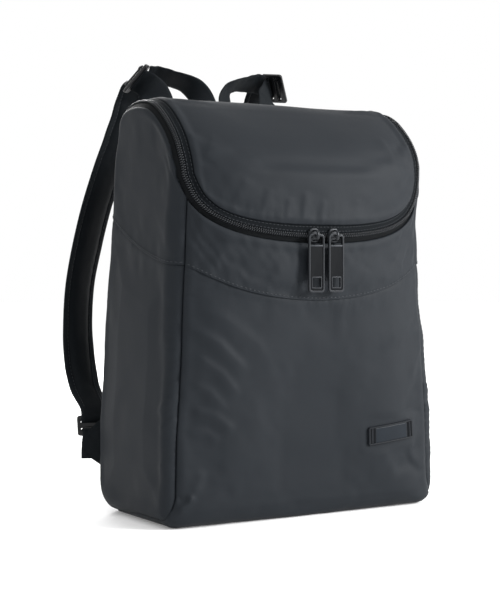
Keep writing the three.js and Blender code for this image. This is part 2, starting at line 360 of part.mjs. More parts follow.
// ---------------------------------------------------------------- ribbons
const unit = (v) => v.clone().normalize();
function ribbon(name, stations, material, across = 1) {
  const ringOf = [];
  for (let k = 0; k <= across; k++) ringOf.push([(2 * k) / across - 1, -1]);
  for (let k = across; k >= 0; k--) ringOf.push([(2 * k) / across - 1, 1]);
  const rings = stations.map((q, i) => {
    const a = stations[Math.max(0, i - 1)].c, b = stations[Math.min(stations.length - 1, i + 1)].c, t = unit(b.clone().sub(a));
    const w = unit(q.w.clone().sub(t.clone().multiplyScalar(q.w.dot(t)))), n = t.clone().cross(w), hw = q.width / 2, ht = q.thick / 2;
    return ringOf.map(([i2, j2]) => q.c.clone().addScaledVector(w, i2 * hw).addScaledVector(n, j2 * ht).toArray());
  });
  const pos = rings.flat(), idx = [], R = rings.length, N = ringOf.length, e = (R - 1) * N;
  for (let r = 0; r < R - 1; r++) for (let k = 0; k < N; k++) {
    const a = r * N + k, b = r * N + ((k + 1) % N);
    idx.push(a, b, b + N, a, b + N, a + N);
  }
  for (let k = 0; k < across; k++) {
    const b = N - 1 - k;
    idx.push(k, b, k + 1, k + 1, b, b - 1);
    idx.push(e + k, e + k + 1, e + b, e + k + 1, e + b - 1, e + b);
  }
  return addMesh(name, pos, idx, material);
}
const V = (x, y, z) => new THREE.Vector3(x, y, z);
function sliderFrame(q, m) {
  const a = unit(V(m * q.ax, q.ay, q.az)), b0 = V(m * q.bx, q.by, q.bz), b = unit(b0.sub(a.clone().multiplyScalar(b0.dot(a))));
  return { c: V(m * q.x, q.y, q.z), a, b, n: a.clone().cross(b).multiplyScalar(m) };
}
// Stations of a strap: a smooth line through its rows. top and low give the slider of a row with v and h.
function stationsOf(table, per, m, top, low, topRows = 99) {
  const rows = table.map((q, i) => {
    if (q.v === undefined) return { c: V(m * q.x, q.y, q.z), w: V(m * q.wx, q.wy, q.wz), width: q.width, thick: q.thick };
    const f = sliderFrame(i < topRows ? top : low, m);
    return { c: f.c.clone().addScaledVector(f.b, q.v).addScaledVector(f.n, q.h), w: f.a.clone(), width: q.width, thick: q.thick };
  });
  for (let i = 1; i < rows.length; i++) if (rows[i].w.dot(rows[i - 1].w) < 0) rows[i].w.negate();
  const curve = new THREE.CatmullRomCurve3(rows.map((r) => r.c), false, 'centripetal'), out = [];
  for (let i = 0; i < rows.length - 1; i++) {
    const k = Math.max(1, Math.min(per, Math.round(rows[i].c.distanceTo(rows[i + 1].c) / 4)));
    for (let j = 0; j < k || (i === rows.length - 2 && j === k); j++) {
      const f = j / k, e = f * f * (3 - 2 * f);
      out.push({ c: curve.getPoint((i + f) / (rows.length - 1)), w: rows[i].w.clone().lerp(rows[i + 1].w, e), width: lerp(rows[i].width, rows[i + 1].width, e), thick: lerp(rows[i].thick, rows[i + 1].thick, e) });
    }
  }
  return out;
}
function buckle(name, q, m) {
  const { c, a, b } = sliderFrame(q, m), n = a.clone().cross(b);
  const hx = q.along / 2, hy = q.across / 2, r = 3, shape = new THREE.Shape();
  shape.moveTo(-hx + r, -hy); shape.lineTo(hx - r, -hy); shape.quadraticCurveTo(hx, -hy, hx, -hy + r); shape.lineTo(hx, hy - r);
  shape.quadraticCurveTo(hx, hy, hx - r, hy); shape.lineTo(-hx + r, hy); shape.quadraticCurveTo(-hx, hy, -hx, hy - r); shape.lineTo(-hx, -hy + r);
  shape.quadraticCurveTo(-hx, -hy, -hx + r, -hy);
  for (const k of [-1, 1]) {
    const y0 = k > 0 ? q.bar / 2 : -q.bar / 2 - q.slot, hole = new THREE.Path(), sx = hx - 3;
    hole.moveTo(-sx, y0); hole.lineTo(-sx, y0 + q.slot); hole.lineTo(sx, y0 + q.slot); hole.lineTo(sx, y0); hole.lineTo(-sx, y0);
    shape.holes.push(hole);
  }
  const g = new THREE.ExtrudeGeometry(shape, { depth: q.thick, bevelEnabled: false, curveSegments: 3 });
  g.translate(0, 0, -q.thick / 2);
  const mesh = new THREE.Mesh(g, M.plastic);
  const mtx = new THREE.Matrix4().makeBasis(a, b, n);
  mesh.quaternion.setFromRotationMatrix(mtx);
  mesh.position.copy(c);
  mesh.name = name;
  group.add(mesh);
}
for (const [label, m] of [['left', 1], ['right', -1]]) {
  ribbon('top_web_' + label, stationsOf(TOP_WEB, 4, m, TOP_SLIDER), M.web, 2);
  ribbon('shoulder_strap_' + label, stationsOf(STRAP, 4, m, TOP_SLIDER, LOW_SLIDER, STRAP_TOP_ROWS), M.web);
  ribbon('riser_band_' + label, stationsOf(RISER, 3, m, TOP_SLIDER), M.web);
  ribbon('lower_web_' + label, stationsOf(LOWER_WEB, 3, m, LOW_SLIDER), M.web, 2);
  buckle('top_slider_' + label, TOP_SLIDER, m);
  buckle('lower_buckle_' + label, LOW_SLIDER, m);
  const a = TAB[1], o = TAB[0], l = Math.hypot(a.x - o.x, a.y - o.y), n = [-(a.y - o.y) / l, (a.x - o.x) / l], pos = [], idx = [], N = TAB.length;
  for (const k of [0, 1]) for (const p of TAB) pos.push([m * (p.x - k * 1.8 * n[0]), p.y - k * 1.8 * n[1], p.z]);
  for (let i = 1; i < N - 1; i++) idx.push(0, i, i + 1, N, N + i + 1, N + i);
  for (let i = 0; i < N; i++) { const j = (i + 1) % N; idx.push(i, N + i, N + j, i, N + j, j); }
  addMesh('anchor_tab_' + label, pos, idx, M.web);
}

// ---------------------------------------------------------------- zip sliders and pulls
const wasm = await Module();
wasm.setup();
function solidOf(geometry) {
  for (const k of Object.keys(geometry.attributes)) if (k !== 'position') geometry.deleteAttribute(k);
  const g = mergeVertices(geometry, 1e-4);
  return new wasm.Manifold(new wasm.Mesh({ numProp: 3, vertProperties: new Float32Array(g.attributes.position.array), triVerts: new Uint32Array(g.index.array) }));
}
function geometryOf(solid) {
  const m = solid.getMesh(), g = new THREE.BufferGeometry();
  g.setAttribute('position', new THREE.Float32BufferAttribute(Float32Array.from(m.vertProperties), 3));
  g.setIndex(Array.from(m.triVerts));
  g.computeVertexNormals();
  return g;
}
{
  const mid = half[24], s = lerp(mid.sl, mid.sb, 0.575);
  PULL_X.forEach((x, k) => {
    const label = k ? 'right' : 'left', p = surf(s, x), n = surfNormal(s, x), turn = Math.atan2(n[0], -n[1]);
    // body over the teeth, narrower at the ends, and the bridge: out of the bag is -Y here
    const plan = new THREE.Shape([[-4.9, -3.2], [-3.6, -6.2], [3.6, -6.2], [4.9, -3.2], [4.9, 3.2], [3.6, 6.2], [-3.6, 6.2], [-4.9, 3.2]].map(([a, b]) => new THREE.Vector2(a, b)));
    const body = new THREE.ExtrudeGeometry(plan, { depth: 2.4, bevelEnabled: false }).rotateX(Math.PI / 2).translate(0, -1.5, 0);
    const out = PULL.axle, hy = BAIL.hole / 2, hz = BAIL.hole / 2, wl = BAIL.wall, top = out + hy + wl;
    const ring = new THREE.Shape([[2.6, -BAIL.high / 2], [top - 1.2, -BAIL.high / 2 + 0.6], [top, -BAIL.high / 2 + 2.2], [top, BAIL.high / 2 - 2.2], [top - 1.2, BAIL.high / 2 - 0.6], [2.6, BAIL.high / 2]].map(([a, b]) => new THREE.Vector2(a, b)));
    ring.holes.push(new THREE.Path([[out - hy + 0.4, -hz], [out - hy + 0.4, hz], [out + hy, hz], [out + hy, -hz]].map(([a, b]) => new THREE.Vector2(a, b))));
    const bridge = new THREE.ExtrudeGeometry(ring, { depth: BAIL.wide, bevelEnabled: false }).translate(0, 0, -BAIL.wide / 2).rotateY(Math.PI / 2).rotateX(-Math.PI / 2);
    const sl = new THREE.Mesh(geometryOf(solidOf(body).add(solidOf(bridge))), M.pull);
    sl.position.set(...p);
    sl.rotation.set(0, 0, turn);
    sl.name = 'slider_' + label;
    group.add(sl);
    // pull: a long rounded frame with an eye at the top and a small window near the bottom; its axle is the bar above the eye
    const w = PULL.width / 2, L = PULL.length, r = PULL.round, up = PULL.eyeLow / 2, shape = new THREE.Shape();
    shape.moveTo(-w + r, up - L); shape.lineTo(w - r, up - L); shape.quadraticCurveTo(w, up - L, w, up - L + r); shape.lineTo(w, up - r); shape.quadraticCurveTo(w, up, w - r, up);
    shape.lineTo(-w + r, up); shape.quadraticCurveTo(-w, up, -w, up - r); shape.lineTo(-w, up - L + r); shape.quadraticCurveTo(-w, up - L, -w + r, up - L);
    const hole = (x0, y0, x1, y1) => { const h = new THREE.Path(); h.moveTo(x0, y0); h.lineTo(x0, y1); h.lineTo(x1, y1); h.lineTo(x1, y0); h.lineTo(x0, y0); shape.holes.push(h); };
    hole(-w + 2.4, -up - PULL.eye, w - 2.4, -up);
    hole(-PULL.window / 2, up - L + PULL.windowUp, PULL.window / 2, up - L + PULL.windowUp + PULL.window);
    const g = new THREE.ExtrudeGeometry(shape, { depth: PULL.thick, bevelEnabled: false, curveSegments: 3 }).rotateX(Math.PI / 2).translate(0, PULL.thick / 2, 0);
    const pl = new THREE.Mesh(g, M.pull);
    pl.position.set(p[0] + Math.sin(turn) * PULL.axle, p[1] - Math.cos(turn) * PULL.axle, p[2]);
    pl.rotation.set(0, 0, turn);
    pl.name = 'pull_' + label;
    group.add(pl);
  });
}

// ---------------------------------------------------------------- label plate
{
  const s = sFront(LABEL.z), c = surf(s, LABEL.x), n = new THREE.Vector3(...surfNormal(s, LABEL.x));
  const w = LABEL.width / 2, h = LABEL.height / 2, cols = frac(9), rows = frac(4), outer = [], inner = [];
  const ct = Math.cos((LABEL.tilt * Math.PI) / 180), st = Math.sin((LABEL.tilt * Math.PI) / 180);
  const lean = Math.hypot(n.y, n.z);
  for (const b of rows) {
    const ro = [], ri = [];
    for (const a of cols) {
      const lx = lerp(-w, w, a), lz = lerp(-h, h, b), dx = (lx * ct - lz * st) * lean, dz = lx * st + lz * ct;
      const sx = LABEL.x + dx, ss = s - dz, p = surf(ss, sx), m = surfNormal(ss, sx);
      ro.push(push(p, m, -LABEL.thick - 0.35)); ri.push(push(p, m, -0.35));
    }
    outer.push(ro); inner.push(ri);
  }
  wall('label_plate', outer, inner, M.label);
}

export default group;
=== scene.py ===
import math
import bpy
import numpy as np
from mathutils import Matrix, Vector


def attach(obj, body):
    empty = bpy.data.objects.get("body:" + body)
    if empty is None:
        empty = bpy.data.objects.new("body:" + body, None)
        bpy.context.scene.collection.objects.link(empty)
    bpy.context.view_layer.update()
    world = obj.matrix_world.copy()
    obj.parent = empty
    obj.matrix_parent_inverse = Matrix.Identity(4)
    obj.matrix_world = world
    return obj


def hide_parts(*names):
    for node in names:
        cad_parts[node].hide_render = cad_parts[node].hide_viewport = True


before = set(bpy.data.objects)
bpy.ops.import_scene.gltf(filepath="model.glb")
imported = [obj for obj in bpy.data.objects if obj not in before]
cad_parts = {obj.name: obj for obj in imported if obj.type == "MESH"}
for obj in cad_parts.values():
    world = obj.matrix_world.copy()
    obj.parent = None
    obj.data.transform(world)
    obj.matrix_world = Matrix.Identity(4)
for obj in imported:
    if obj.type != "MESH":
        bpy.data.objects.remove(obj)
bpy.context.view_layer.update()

MM = 0.001
scene = bpy.context.scene

# ------------------------------------------------------------------ the bag's form, in millimetres
CLOTH, BACK_PAD, TAPE, CHAIN, GAP = 2.0, 8.0, 1.4, 2.2, 0.34
SEAM_IN, BACK_SEAM_IN, BASE_SEAM_IN = 10.5, 8.0, 3.2
BASE_FRONT_Y, BASE_BACK_Y, YOKE_FRONT_Z, YOKE_BACK_Z = -52, 36, 227, 277
# middle line: y, z, flat, depth
PROFILE = np.array([
    (-10, 0, 131, 16), (16, 0, 131, 16), (36, 0, 131, 16), (48, 0.8, 129, 16), (59, 6, 120, 16), (67.5, 19, 110, 16),
    (72, 44, 95, 16), (74.5, 80, 88, 17), (76, 140, 85, 18), (75.5, 190, 85, 18), (73, 235, 85, 18), (68, 285, 90, 17),
    (62, 317, 95, 16), (55.5, 340, 98, 15), (48.5, 357, 100, 14), (40, 368.5, 100, 14), (30, 376, 102, 14), (18, 380.2, 104, 14),
    (6, 381.5, 104, 14), (-7, 381, 103, 14), (-20, 378.5, 98, 14), (-33, 373.5, 88, 15), (-44, 367.2, 75, 16.5), (-55, 359.7, 60, 18.5),
    (-66, 351.2, 45, 22), (-77, 341, 30, 28), (-86, 329, 15, 34), (-92, 314, 5, 38), (-94.8, 295, 0, 41), (-95.2, 270, 0, 45),
    (-93.8, 232, 10, 44), (-91, 190, 20, 40), (-87, 140, 40, 30), (-82, 80, 60, 22), (-77.8, 26, 98, 18), (-75.5, 12, 110, 17),
    (-70.5, 3.6, 125, 16), (-61, 0, 131, 16), (-52, 0, 131, 16), (-30, 0, 131, 16), (-10, 0, 131, 16)], float)
HALF_WIDTH = np.array([(0, 147.5), (30, 147.6), (80, 146.4), (140, 142.2), (190, 139.2), (232, 137.0), (282, 135.3), (310, 136.0), (340, 137.5), (360, 139.2), (382, 140.2)], float)
# front of the zip: zLid, xLid, zBody, xBody
ZIP_FRONT = np.array([
    (263.6, 0, 248.8, 0), (264.0, 28, 249.6, 30), (265.6, 51, 252.0, 56), (268.4, 71, 256.6, 80), (272.6, 87, 263.4, 99),
    (278.4, 99.5, 272.2, 113), (285.6, 108, 281.5, 121.4), (293.0, 113.4, 288.5, 125.2), (303, 117.6, 299.5, 129.2), (314, 120.6, 311.5, 132.4)], float)
ARCH_LID_X, ARCH_BODY_IN, ZIP_END_Z = 122.3, 1.9, 352
YOKE_SEAM = np.array([(0, 197), (30, 198.6), (58, 202.4), (82, 208), (102, 215.4), (116, 222), (126.5, 227)], float)
YOKE_SIDE_SAG = 9


def catmull(table, t):
    """Smooth rows of a table at t from 0 to rows - 1."""
    n = len(table) - 1
    i = np.clip(np.floor(t).astype(int), 0, n - 1)
    f = (t - i)[:, None]
    p1, p2 = table[i], table[i + 1]
    p0 = np.where((i > 0)[:, None], table[np.maximum(i - 1, 0)], 2 * p1 - p2)
    p3 = np.where((i + 2 <= n)[:, None], table[np.minimum(i + 2, n)], 2 * p2 - p1)
    return 0.5 * (2 * p1 + (p2 - p0) * f + (2 * p0 - 5 * p1 + 4 * p2 - p3) * f ** 2 + (3 * p1 - p0 - 3 * p2 + p3) * f ** 3)


FINE = 40
LT = np.arange((len(PROFILE) - 1) * FINE + 1) / FINE
LINE = catmull(PROFILE, LT)
k0 = np.minimum(len(PROFILE) - 2, np.floor(LT).astype(int))
LINE[(PROFILE[k0, 1] == 0) & (PROFILE[k0 + 1, 1] == 0), 1] = 0
LINE[:, 1] = np.maximum(0, LINE[:, 1])
LS = np.concatenate([[0], np.cumsum(np.hypot(np.diff(LINE[:, 0]), np.diff(LINE[:, 1])))])
TOTAL = LS[-1]
DY = np.gradient(LINE[:, 0]); DZ = np.gradient(LINE[:, 1]); DL = np.hypot(DY, DZ)
LNY, LNZ = DZ / DL, -DY / DL
TOP = int(LINE[:, 1].argmax())


def at(s):
    s = np.asarray(s, float)
    return {k: np.interp(s, LS, v) for k, v in (("y", LINE[:, 0]), ("z", LINE[:, 1]), ("flat", LINE[:, 2]), ("depth", LINE[:, 3]), ("ny", LNY), ("nz", LNZ))}


def s_front(z):
    return np.interp(-np.asarray(z, float), -LINE[TOP:, 1], LS[TOP:])


def s_back(z):
    m = (LINE[:TOP + 1, 1] > 0.0005)
    return np.interp(np.asarray(z, float), LINE[:TOP + 1, 1][m], LS[:TOP + 1][m])


def s_base(y):
    m = np.arange(len(LINE)) < TOP
    m &= LINE[:, 1] <= 0.0005
    a = np.interp(y, LINE[m, 0], LS[m])
    m2 = (np.arange(len(LINE)) > TOP) & (LINE[:, 1] <= 0.0005)
    b = np.interp(y, LINE[m2, 0], LS[m2])
    return a if y >= -10 else b


def half_width(z):
    return np.interp(z, HALF_WIDTH[:, 0], HALF_WIDTH[:, 1])


def surf(s, x):
    c = at(s)
    w = half_width(c["z"])
    t = np.clip((np.abs(x) - c["flat"]) / (w - c["flat"]), 0, 0.9995)
    off = c["depth"] * (1 - np.sqrt(1 - t * t))
    return np.stack([np.broadcast_to(x, off.shape), c["y"] - c["ny"] * off, c["z"] - c["nz"] * off], -1)


def side_x(y, z):
    """x of the +X side panel at points of its plane."""
    y, z = np.asarray(y, float).ravel(), np.asarray(z, float).ravel()
    out = np.zeros(len(y))
    L = LINE[::4]
    ny, nz = LNY[::4], LNZ[::4]
    for a in range(0, len(y), 4000):
        yy, zz = y[a:a + 4000, None], z[a:a + 4000, None]
        d2 = (L[None, :, 0] - yy) ** 2 + (L[None, :, 1] - zz) ** 2
        i = d2.argmin(1)
        d = np.maximum(0, (L[i, 0] - yy[:, 0]) * ny[i] + (L[i, 1] - zz[:, 0]) * nz[i])
        w = half_width(zz[:, 0])
        r = 1 - np.minimum(1, d / L[i, 3])
        out[a:a + 4000] = L[i, 2] + (w - L[i, 2]) * np.sqrt(np.maximum(0, 1 - r * r))
    return out


def ease(k):
    k = np.clip(k, 0, 1)
    return k * k * (3 - 2 * k)


def seam_x(s):
    c = at(s)
    front = (np.asarray(s) > LS[TOP]) & (c["y"] < -20)
    f = BASE_SEAM_IN + (SEAM_IN - BASE_SEAM_IN) * ease(c["z"] / 30)
    b = BASE_SEAM_IN + (BACK_SEAM_IN - BASE_SEAM_IN) * ease((c["y"] + 20) / (BASE_BACK_Y + 20) + (c["z"] > 20))
    return half_width(c["z"]) - np.where(front, f, b)


def resample(line, n=None, at_fr=None):
    """Points evenly spaced along a polyline, or at given fractions of its length."""
    line = np.asarray(line, float)
    d = np.concatenate([[0], np.cumsum(np.linalg.norm(np.diff(line, axis=0), axis=1))])
    f = (np.linspace(0, 1, n) if at_fr is None else np.asarray(at_fr)) * d[-1]
    return np.stack([np.interp(f, d, line[:, k]) for k in range(line.shape[1])], -1)


# zip rows, from the middle of the front outwards and back over the side arch
zt = np.arange(0, len(ZIP_FRONT) - 1 + 1e-9, 1 / 12)
zq = catmull(ZIP_FRONT, zt)
ZR = np.stack([s_front(zq[:, 0]), zq[:, 1], s_front(zq[:, 2]), zq[:, 3]], -1)     # sl, xl, sb, xb
S_END = float(s_back(ZIP_END_Z))
last = ZR[-1].copy()
more = []
for k in range(1, 121):
    f = k / 120
    e = min(1.0, f * 6)
    sl, sb = last[0] + (S_END - last[0]) * f, last[2] + (S_END - last[2]) * f
    more.append((sl, last[1] + (ARCH_LID_X - last[1]) * e, sb, last[3] + (float(half_width(at(sb)["z"])) - ARCH_BODY_IN - last[3]) * e))
ZR = np.vstack([ZR, more])
# the two easings above meet the front's rows with a soft bend
for _ in range(6):
    ZR[1:-1, 1::2] = 0.25 * ZR[:-2, 1::2] + 0.5 * ZR[1:-1, 1::2] + 0.25 * ZR[2:, 1::2]
body_p = surf(ZR[:, 2], ZR[:, 3])
RUN = np.concatenate([[0], np.cumsum(np.linalg.norm(np.diff(body_p, axis=0), axis=1))])
I_SEAM = int(np.argmax(ZR[:, 3] >= half_width(at(ZR[:, 2])["z"]) - SEAM_IN))
I_ARCH = int(np.argmax(at(ZR[:, 2])["z"] > 338))


def zip_half(d):
    return np.stack([np.interp(d, RUN, ZR[:, k]) for k in range(4)], -1)


def zip_edge(d, f, m=1):
    """Surface places (s, x) of the zip at run d, f = 0 at the lid and 1 at the body."""
    q = zip_half(d)
    return np.stack([q[:, 0] + (q[:, 2] - q[:, 0]) * f, m * (q[:, 1] + (q[:, 3] - q[:, 1]) * f)], -1)


GF = 0.6 / 15
ARC_LAP = 0.3

# ------------------------------------------------------------------ noise
def _hash(ix, iy, seed):
    h = (ix * 374761393 + iy * 668265263 + seed * 1442695041) & 0xFFFFFFFF
    h = ((h ^ (h >> 13)) * 1274126177) & 0xFFFFFFFF
    return ((h ^ (h >> 16)) & 0xFFFF) / 65535.0 * 2 * math.pi


def noise(u, v, seed=0):
    """Gradient noise, about -1 to 1."""
    iu, iv = np.floor(u).astype(np.int64), np.floor(v).astype(np.int64)
    fu, fv = u - iu, v - iv
    g = 0
    su, sv = fu ** 3 * (fu * (fu * 6 - 15) + 10), fv ** 3 * (fv * (fv * 6 - 15) + 10)
    for a in (0, 1):
        for b in (0, 1):
            an = _hash(iu + a, iv + b, seed)
            d = np.cos(an) * (fu - a) + np.sin(an) * (fv - b)
            g = g + d * (su if a else 1 - su) * (sv if b else 1 - sv)
    return g * 1.5


def seg_dist(px, pz, line):
    """Distance to a polyline, place along it from 0 to 1, and the side (sign)."""
    line = np.asarray(line, float)
    best = np.full(px.shape, 1e9)
    t_best = np.zeros(px.shape)
    side = np.ones(px.shape)
    L = np.concatenate([[0], np.cumsum(np.hypot(*np.diff(line, axis=0).T))])
    for i in range(len(line) - 1):
        a, d = line[i], line[i + 1] - line[i]
        n2 = d @ d
        t = np.clip(((px - a[0]) * d[0] + (pz - a[1]) * d[1]) / n2, 0, 1)
        ex, ez = px - a[0] - t * d[0], pz - a[1] - t * d[1]
        r = np.hypot(ex, ez)
        m = r < best
        best = np.where(m, r, best)
        t_best = np.where(m, (L[i] + t * (L[i + 1] - L[i])) / L[-1], t_best)
        side = np.where(m, np.sign(d[0] * ez - d[1] * ex), side)
    return best, t_best, side


def fold(px, pz, line, height, width, skew=0.0, tip=0.25):
    """A fold along a line: height in mm (negative for a dent), width of its flank, skew > 0 steeper on the left of the line."""
    d, t, side = seg_dist(px, pz, line)
    w = width * np.where(side > 0, 1 - skew, 1 + skew)
    env = np.clip(np.minimum(t, 1 - t) / max(tip, 1e-6), 0, 1)
    env = np.sin(env * math.pi / 2) ** 1.5
    return height * env * np.exp(-(d / w) ** 2)


# ------------------------------------------------------------------ materials
def material(name):
    m = bpy.data.materials.new(name)
    m.use_nodes = True
    nt = m.node_tree
    return m, nt, nt.nodes["Principled BSDF"]


def node(nt, kind, **kw):
    n = nt.nodes.new(kind)
    for k, v in kw.items():
        if k.startswith("_"):
            n.inputs[k[1:].replace("_", " ")].default_value = v
        else:
            setattr(n, k, v)
    return n


def math_node(nt, op, a, b=None):
    n = nt.nodes.new("ShaderNodeMath")
    n.operation = op
    for i, v in enumerate((a, b)):
        if v is None:
            continue
        if isinstance(v, (int, float)):
            n.inputs[i].default_value = v
        else:
            nt.links.new(v, n.inputs[i])
    return n.outputs[0]


def woven(name, dark, light, pitch=0.55, rough=0.62, bump=0.35, spread=0.5, sheen=0.1, spec=0.35, kind="plain", mottle=14.0, micro=0.12):
    """Cloth with its weave in millimetres of the UV map, a heather of two yarn colours and soft mottling."""
    m, nt, bsdf = material(name)
    L = nt.links.new
    uv = nt.nodes.new("ShaderNodeUVMap")
    sep = nt.nodes.new("ShaderNodeSeparateXYZ")
    L(uv.outputs[0], sep.inputs[0])
    k = 2 * math.pi / (2 * pitch)
    u, v = math_node(nt, "MULTIPLY", sep.outputs[0], k), math_node(nt, "MULTIPLY", sep.outputs[1], k)
    if kind == "plain":
        h = math_node(nt, "MULTIPLY", math_node(nt, "SINE", u), math_node(nt, "SINE", v))
        h = math_node(nt, "ABSOLUTE", h)
    elif kind == "twill":
        d = math_node(nt, "ADD", u, v)
        h = math_node(nt, "ABSOLUTE", math_node(nt, "SINE", d))
    elif kind == "rib":
        h = math_node(nt, "ADD", math_node(nt, "MULTIPLY", math_node(nt, "ABSOLUTE", math_node(nt, "SINE", v)), 0.75),
                      math_node(nt, "MULTIPLY", math_node(nt, "ABSOLUTE", math_node(nt, "SINE", math_node(nt, "MULTIPLY", u, 1.7))), 0.25))
    else:                                                    # open mesh of round holes
        cell = nt.nodes.new("ShaderNodeTexVoronoi")
        cell.feature = "F1"
        cell.inputs["Scale"].default_value = 1 / (pitch * 2)
        cell.inputs["Randomness"].default_value = 0.12
        L(uv.outputs[0], cell.inputs["Vector"])
        h = math_node(nt, "MINIMUM", math_node(nt, "MULTIPLY", cell.outputs["Distance"], 2.2), 1.0)
    tex = nt.nodes.new("ShaderNodeTexCoord")
    big = node(nt, "ShaderNodeTexNoise", _Scale=mottle, _Detail=3.0, _Roughness=0.55)
    L(tex.outputs["Object"], big.inputs["Vector"])
    yarn = nt.nodes.new("ShaderNodeMapping")
    yarn.inputs["Scale"].default_value = (0.35, 2.4, 1)
    L(uv.outputs[0], yarn.inputs["Vector"])
    slub = node(nt, "ShaderNodeTexNoise", _Scale=0.9, _Detail=4.0, _Roughness=0.6)
    L(yarn.outputs[0], slub.inputs["Vector"])
    mix = math_node(nt, "ADD", math_node(nt, "MULTIPLY", slub.outputs["Fac"], 0.55), math_node(nt, "MULTIPLY", big.outputs["Fac"], 0.45))
    mix = math_node(nt, "ADD", math_node(nt, "MULTIPLY", math_node(nt, "SUBTRACT", mix, 0.5), spread * 2), math_node(nt, "ADD", math_node(nt, "MULTIPLY", h, 0.25), 0.38))
    ramp = nt.nodes.new("ShaderNodeValToRGB")
    ramp.color_ramp.elements[0].color = (*dark, 1)
    ramp.color_ramp.elements[1].color = (*light, 1)
    L(mix, ramp.inputs[0])
    L(ramp.outputs[0], bsdf.inputs["Base Color"])
    rr = nt.nodes.new("ShaderNodeMapRange")
    rr.inputs["To Min"].default_value, rr.inputs["To Max"].default_value = rough - 0.06, rough + 0.08
    L(big.outputs["Fac"], rr.inputs["Value"])
    L(rr.outputs[0], bsdf.inputs["Roughness"])
    fine = node(nt, "ShaderNodeTexNoise", _Scale=240.0, _Detail=3.0, _Roughness=0.6)
    L(tex.outputs["Object"], fine.inputs["Vector"])
    hh = math_node(nt, "ADD", math_node(nt, "MULTIPLY", h, bump), math_node(nt, "MULTIPLY", fine.outputs["Fac"], micro * 4))
    b = nt.nodes.new("ShaderNodeBump")
    b.inputs["Strength"].default_value = 0.5
    b.inputs["Distance"].default_value = 0.00022
    L(hh, b.inputs["Height"])
    L(b.outputs[0], bsdf.inputs["Normal"])
    bsdf.inputs["Specular IOR Level"].default_value = spec
    bsdf.inputs["Sheen Weight"].default_value = sheen
    bsdf.inputs["Sheen Roughness"].default_value = 0.5
    bsdf.inputs["Sheen Tint"].default_value = (0.75, 0.82, 0.9, 1)
    return m


def hard(name, color, rough=0.4, metal=0.0, grain=900.0, bump=0.06, painted_edge_highlight=None, spec=0.5, coat=0.0):
    """Moulded plastic or painted metal: fine grain, cloudy roughness and a painted highlight that lightens the sharp
    convex edges.
    """
    m, nt, bsdf = material(name)
    L = nt.links.new
    tex = nt.nodes.new("ShaderNodeTexCoord")
    big = node(nt, "ShaderNodeTexNoise", _Scale=60.0, _Detail=4.0)
    fine = node(nt, "ShaderNodeTexNoise", _Scale=grain, _Detail=2.0)
    L(tex.outputs["Object"], big.inputs["Vector"]); L(tex.outputs["Object"], fine.inputs["Vector"])
    rr = nt.nodes.new("ShaderNodeMapRange")
    rr.inputs["To Min"].default_value, rr.inputs["To Max"].default_value = rough - 0.07, rough + 0.09
    L(big.outputs["Fac"], rr.inputs["Value"]); L(rr.outputs[0], bsdf.inputs["Roughness"])
    ramp = nt.nodes.new("ShaderNodeValToRGB")
    ramp.color_ramp.elements[0].color = (*[c * 0.82 for c in color], 1)
    ramp.color_ramp.elements[1].color = (*[c * 1.2 for c in color], 1)
    L(big.outputs["Fac"], ramp.inputs[0])
    out = ramp.outputs[0]
    # painted highlight: the colour is lightened on sharp convex edges (pointiness), whatever the lamps do
    if painted_edge_highlight:
        geo = nt.nodes.new("ShaderNodeNewGeometry")
        pr = nt.nodes.new("ShaderNodeMapRange")
        pr.inputs["From Min"].default_value, pr.inputs["From Max"].default_value = 0.52, 0.66
        L(geo.outputs["Pointiness"], pr.inputs["Value"])
        mx = nt.nodes.new("ShaderNodeMix")
        mx.data_type = "RGBA"
        L(pr.outputs[0], mx.inputs["Factor"]); L(out, mx.inputs["A"])
        mx.inputs["B"].default_value = (*painted_edge_highlight, 1)
        out = mx.outputs["Result"]
    L(out, bsdf.inputs["Base Color"])
    b = nt.nodes.new("ShaderNodeBump")
    b.inputs["Strength"].default_value = bump
    b.inputs["Distance"].default_value = 0.0002
    L(fine.outputs["Fac"], b.inputs["Height"]); L(b.outputs[0], bsdf.inputs["Normal"])
    bsdf.inputs["Metallic"].default_value = metal
    bsdf.inputs["Specular IOR Level"].default_value = spec
    bsdf.inputs["Coat Weight"].default_value = coat
    return m


SHELL = woven("shell_cloth", (0.0080, 0.0100, 0.0126), (0.0132, 0.0160, 0.0198), pitch=0.5, rough=0.6, bump=0.3, spread=0.28, sheen=0.0, spec=0.12)
LINING = woven("binding_cloth", (0.006, 0.007, 0.0085), (0.014, 0.016, 0.019), pitch=0.6, rough=0.7, kind="twill", spread=0.3, sheen=0.0, spec=0.15)
BACKM = woven("spacer_mesh", (0.009, 0.0105, 0.0125), (0.040, 0.044, 0.050), pitch=1.1, rough=0.85, kind="mesh", bump=1.6, spread=0.2, sheen=0.0, spec=0.12)
WEBM = woven("webbing", (0.0016, 0.0025, 0.0034), (0.0058, 0.0082, 0.0106), pitch=0.65, rough=0.68, kind="rib", bump=1.0, spread=0.35, sheen=0.0, spec=0.11)
STRAPM = woven("strap_cloth", (0.0014, 0.0022, 0.0030), (0.0048, 0.0068, 0.0088), pitch=0.5, rough=0.66, kind="plain", bump=0.5, spread=0.35, sheen=0.0, spec=0.09)
TAPEM = woven("zip_tape", (0.0020, 0.0028, 0.0036), (0.0054, 0.0070, 0.0088), pitch=0.45, rough=0.7, kind="twill", bump=0.7, spread=0.3, sheen=0.0, spec=0.06)
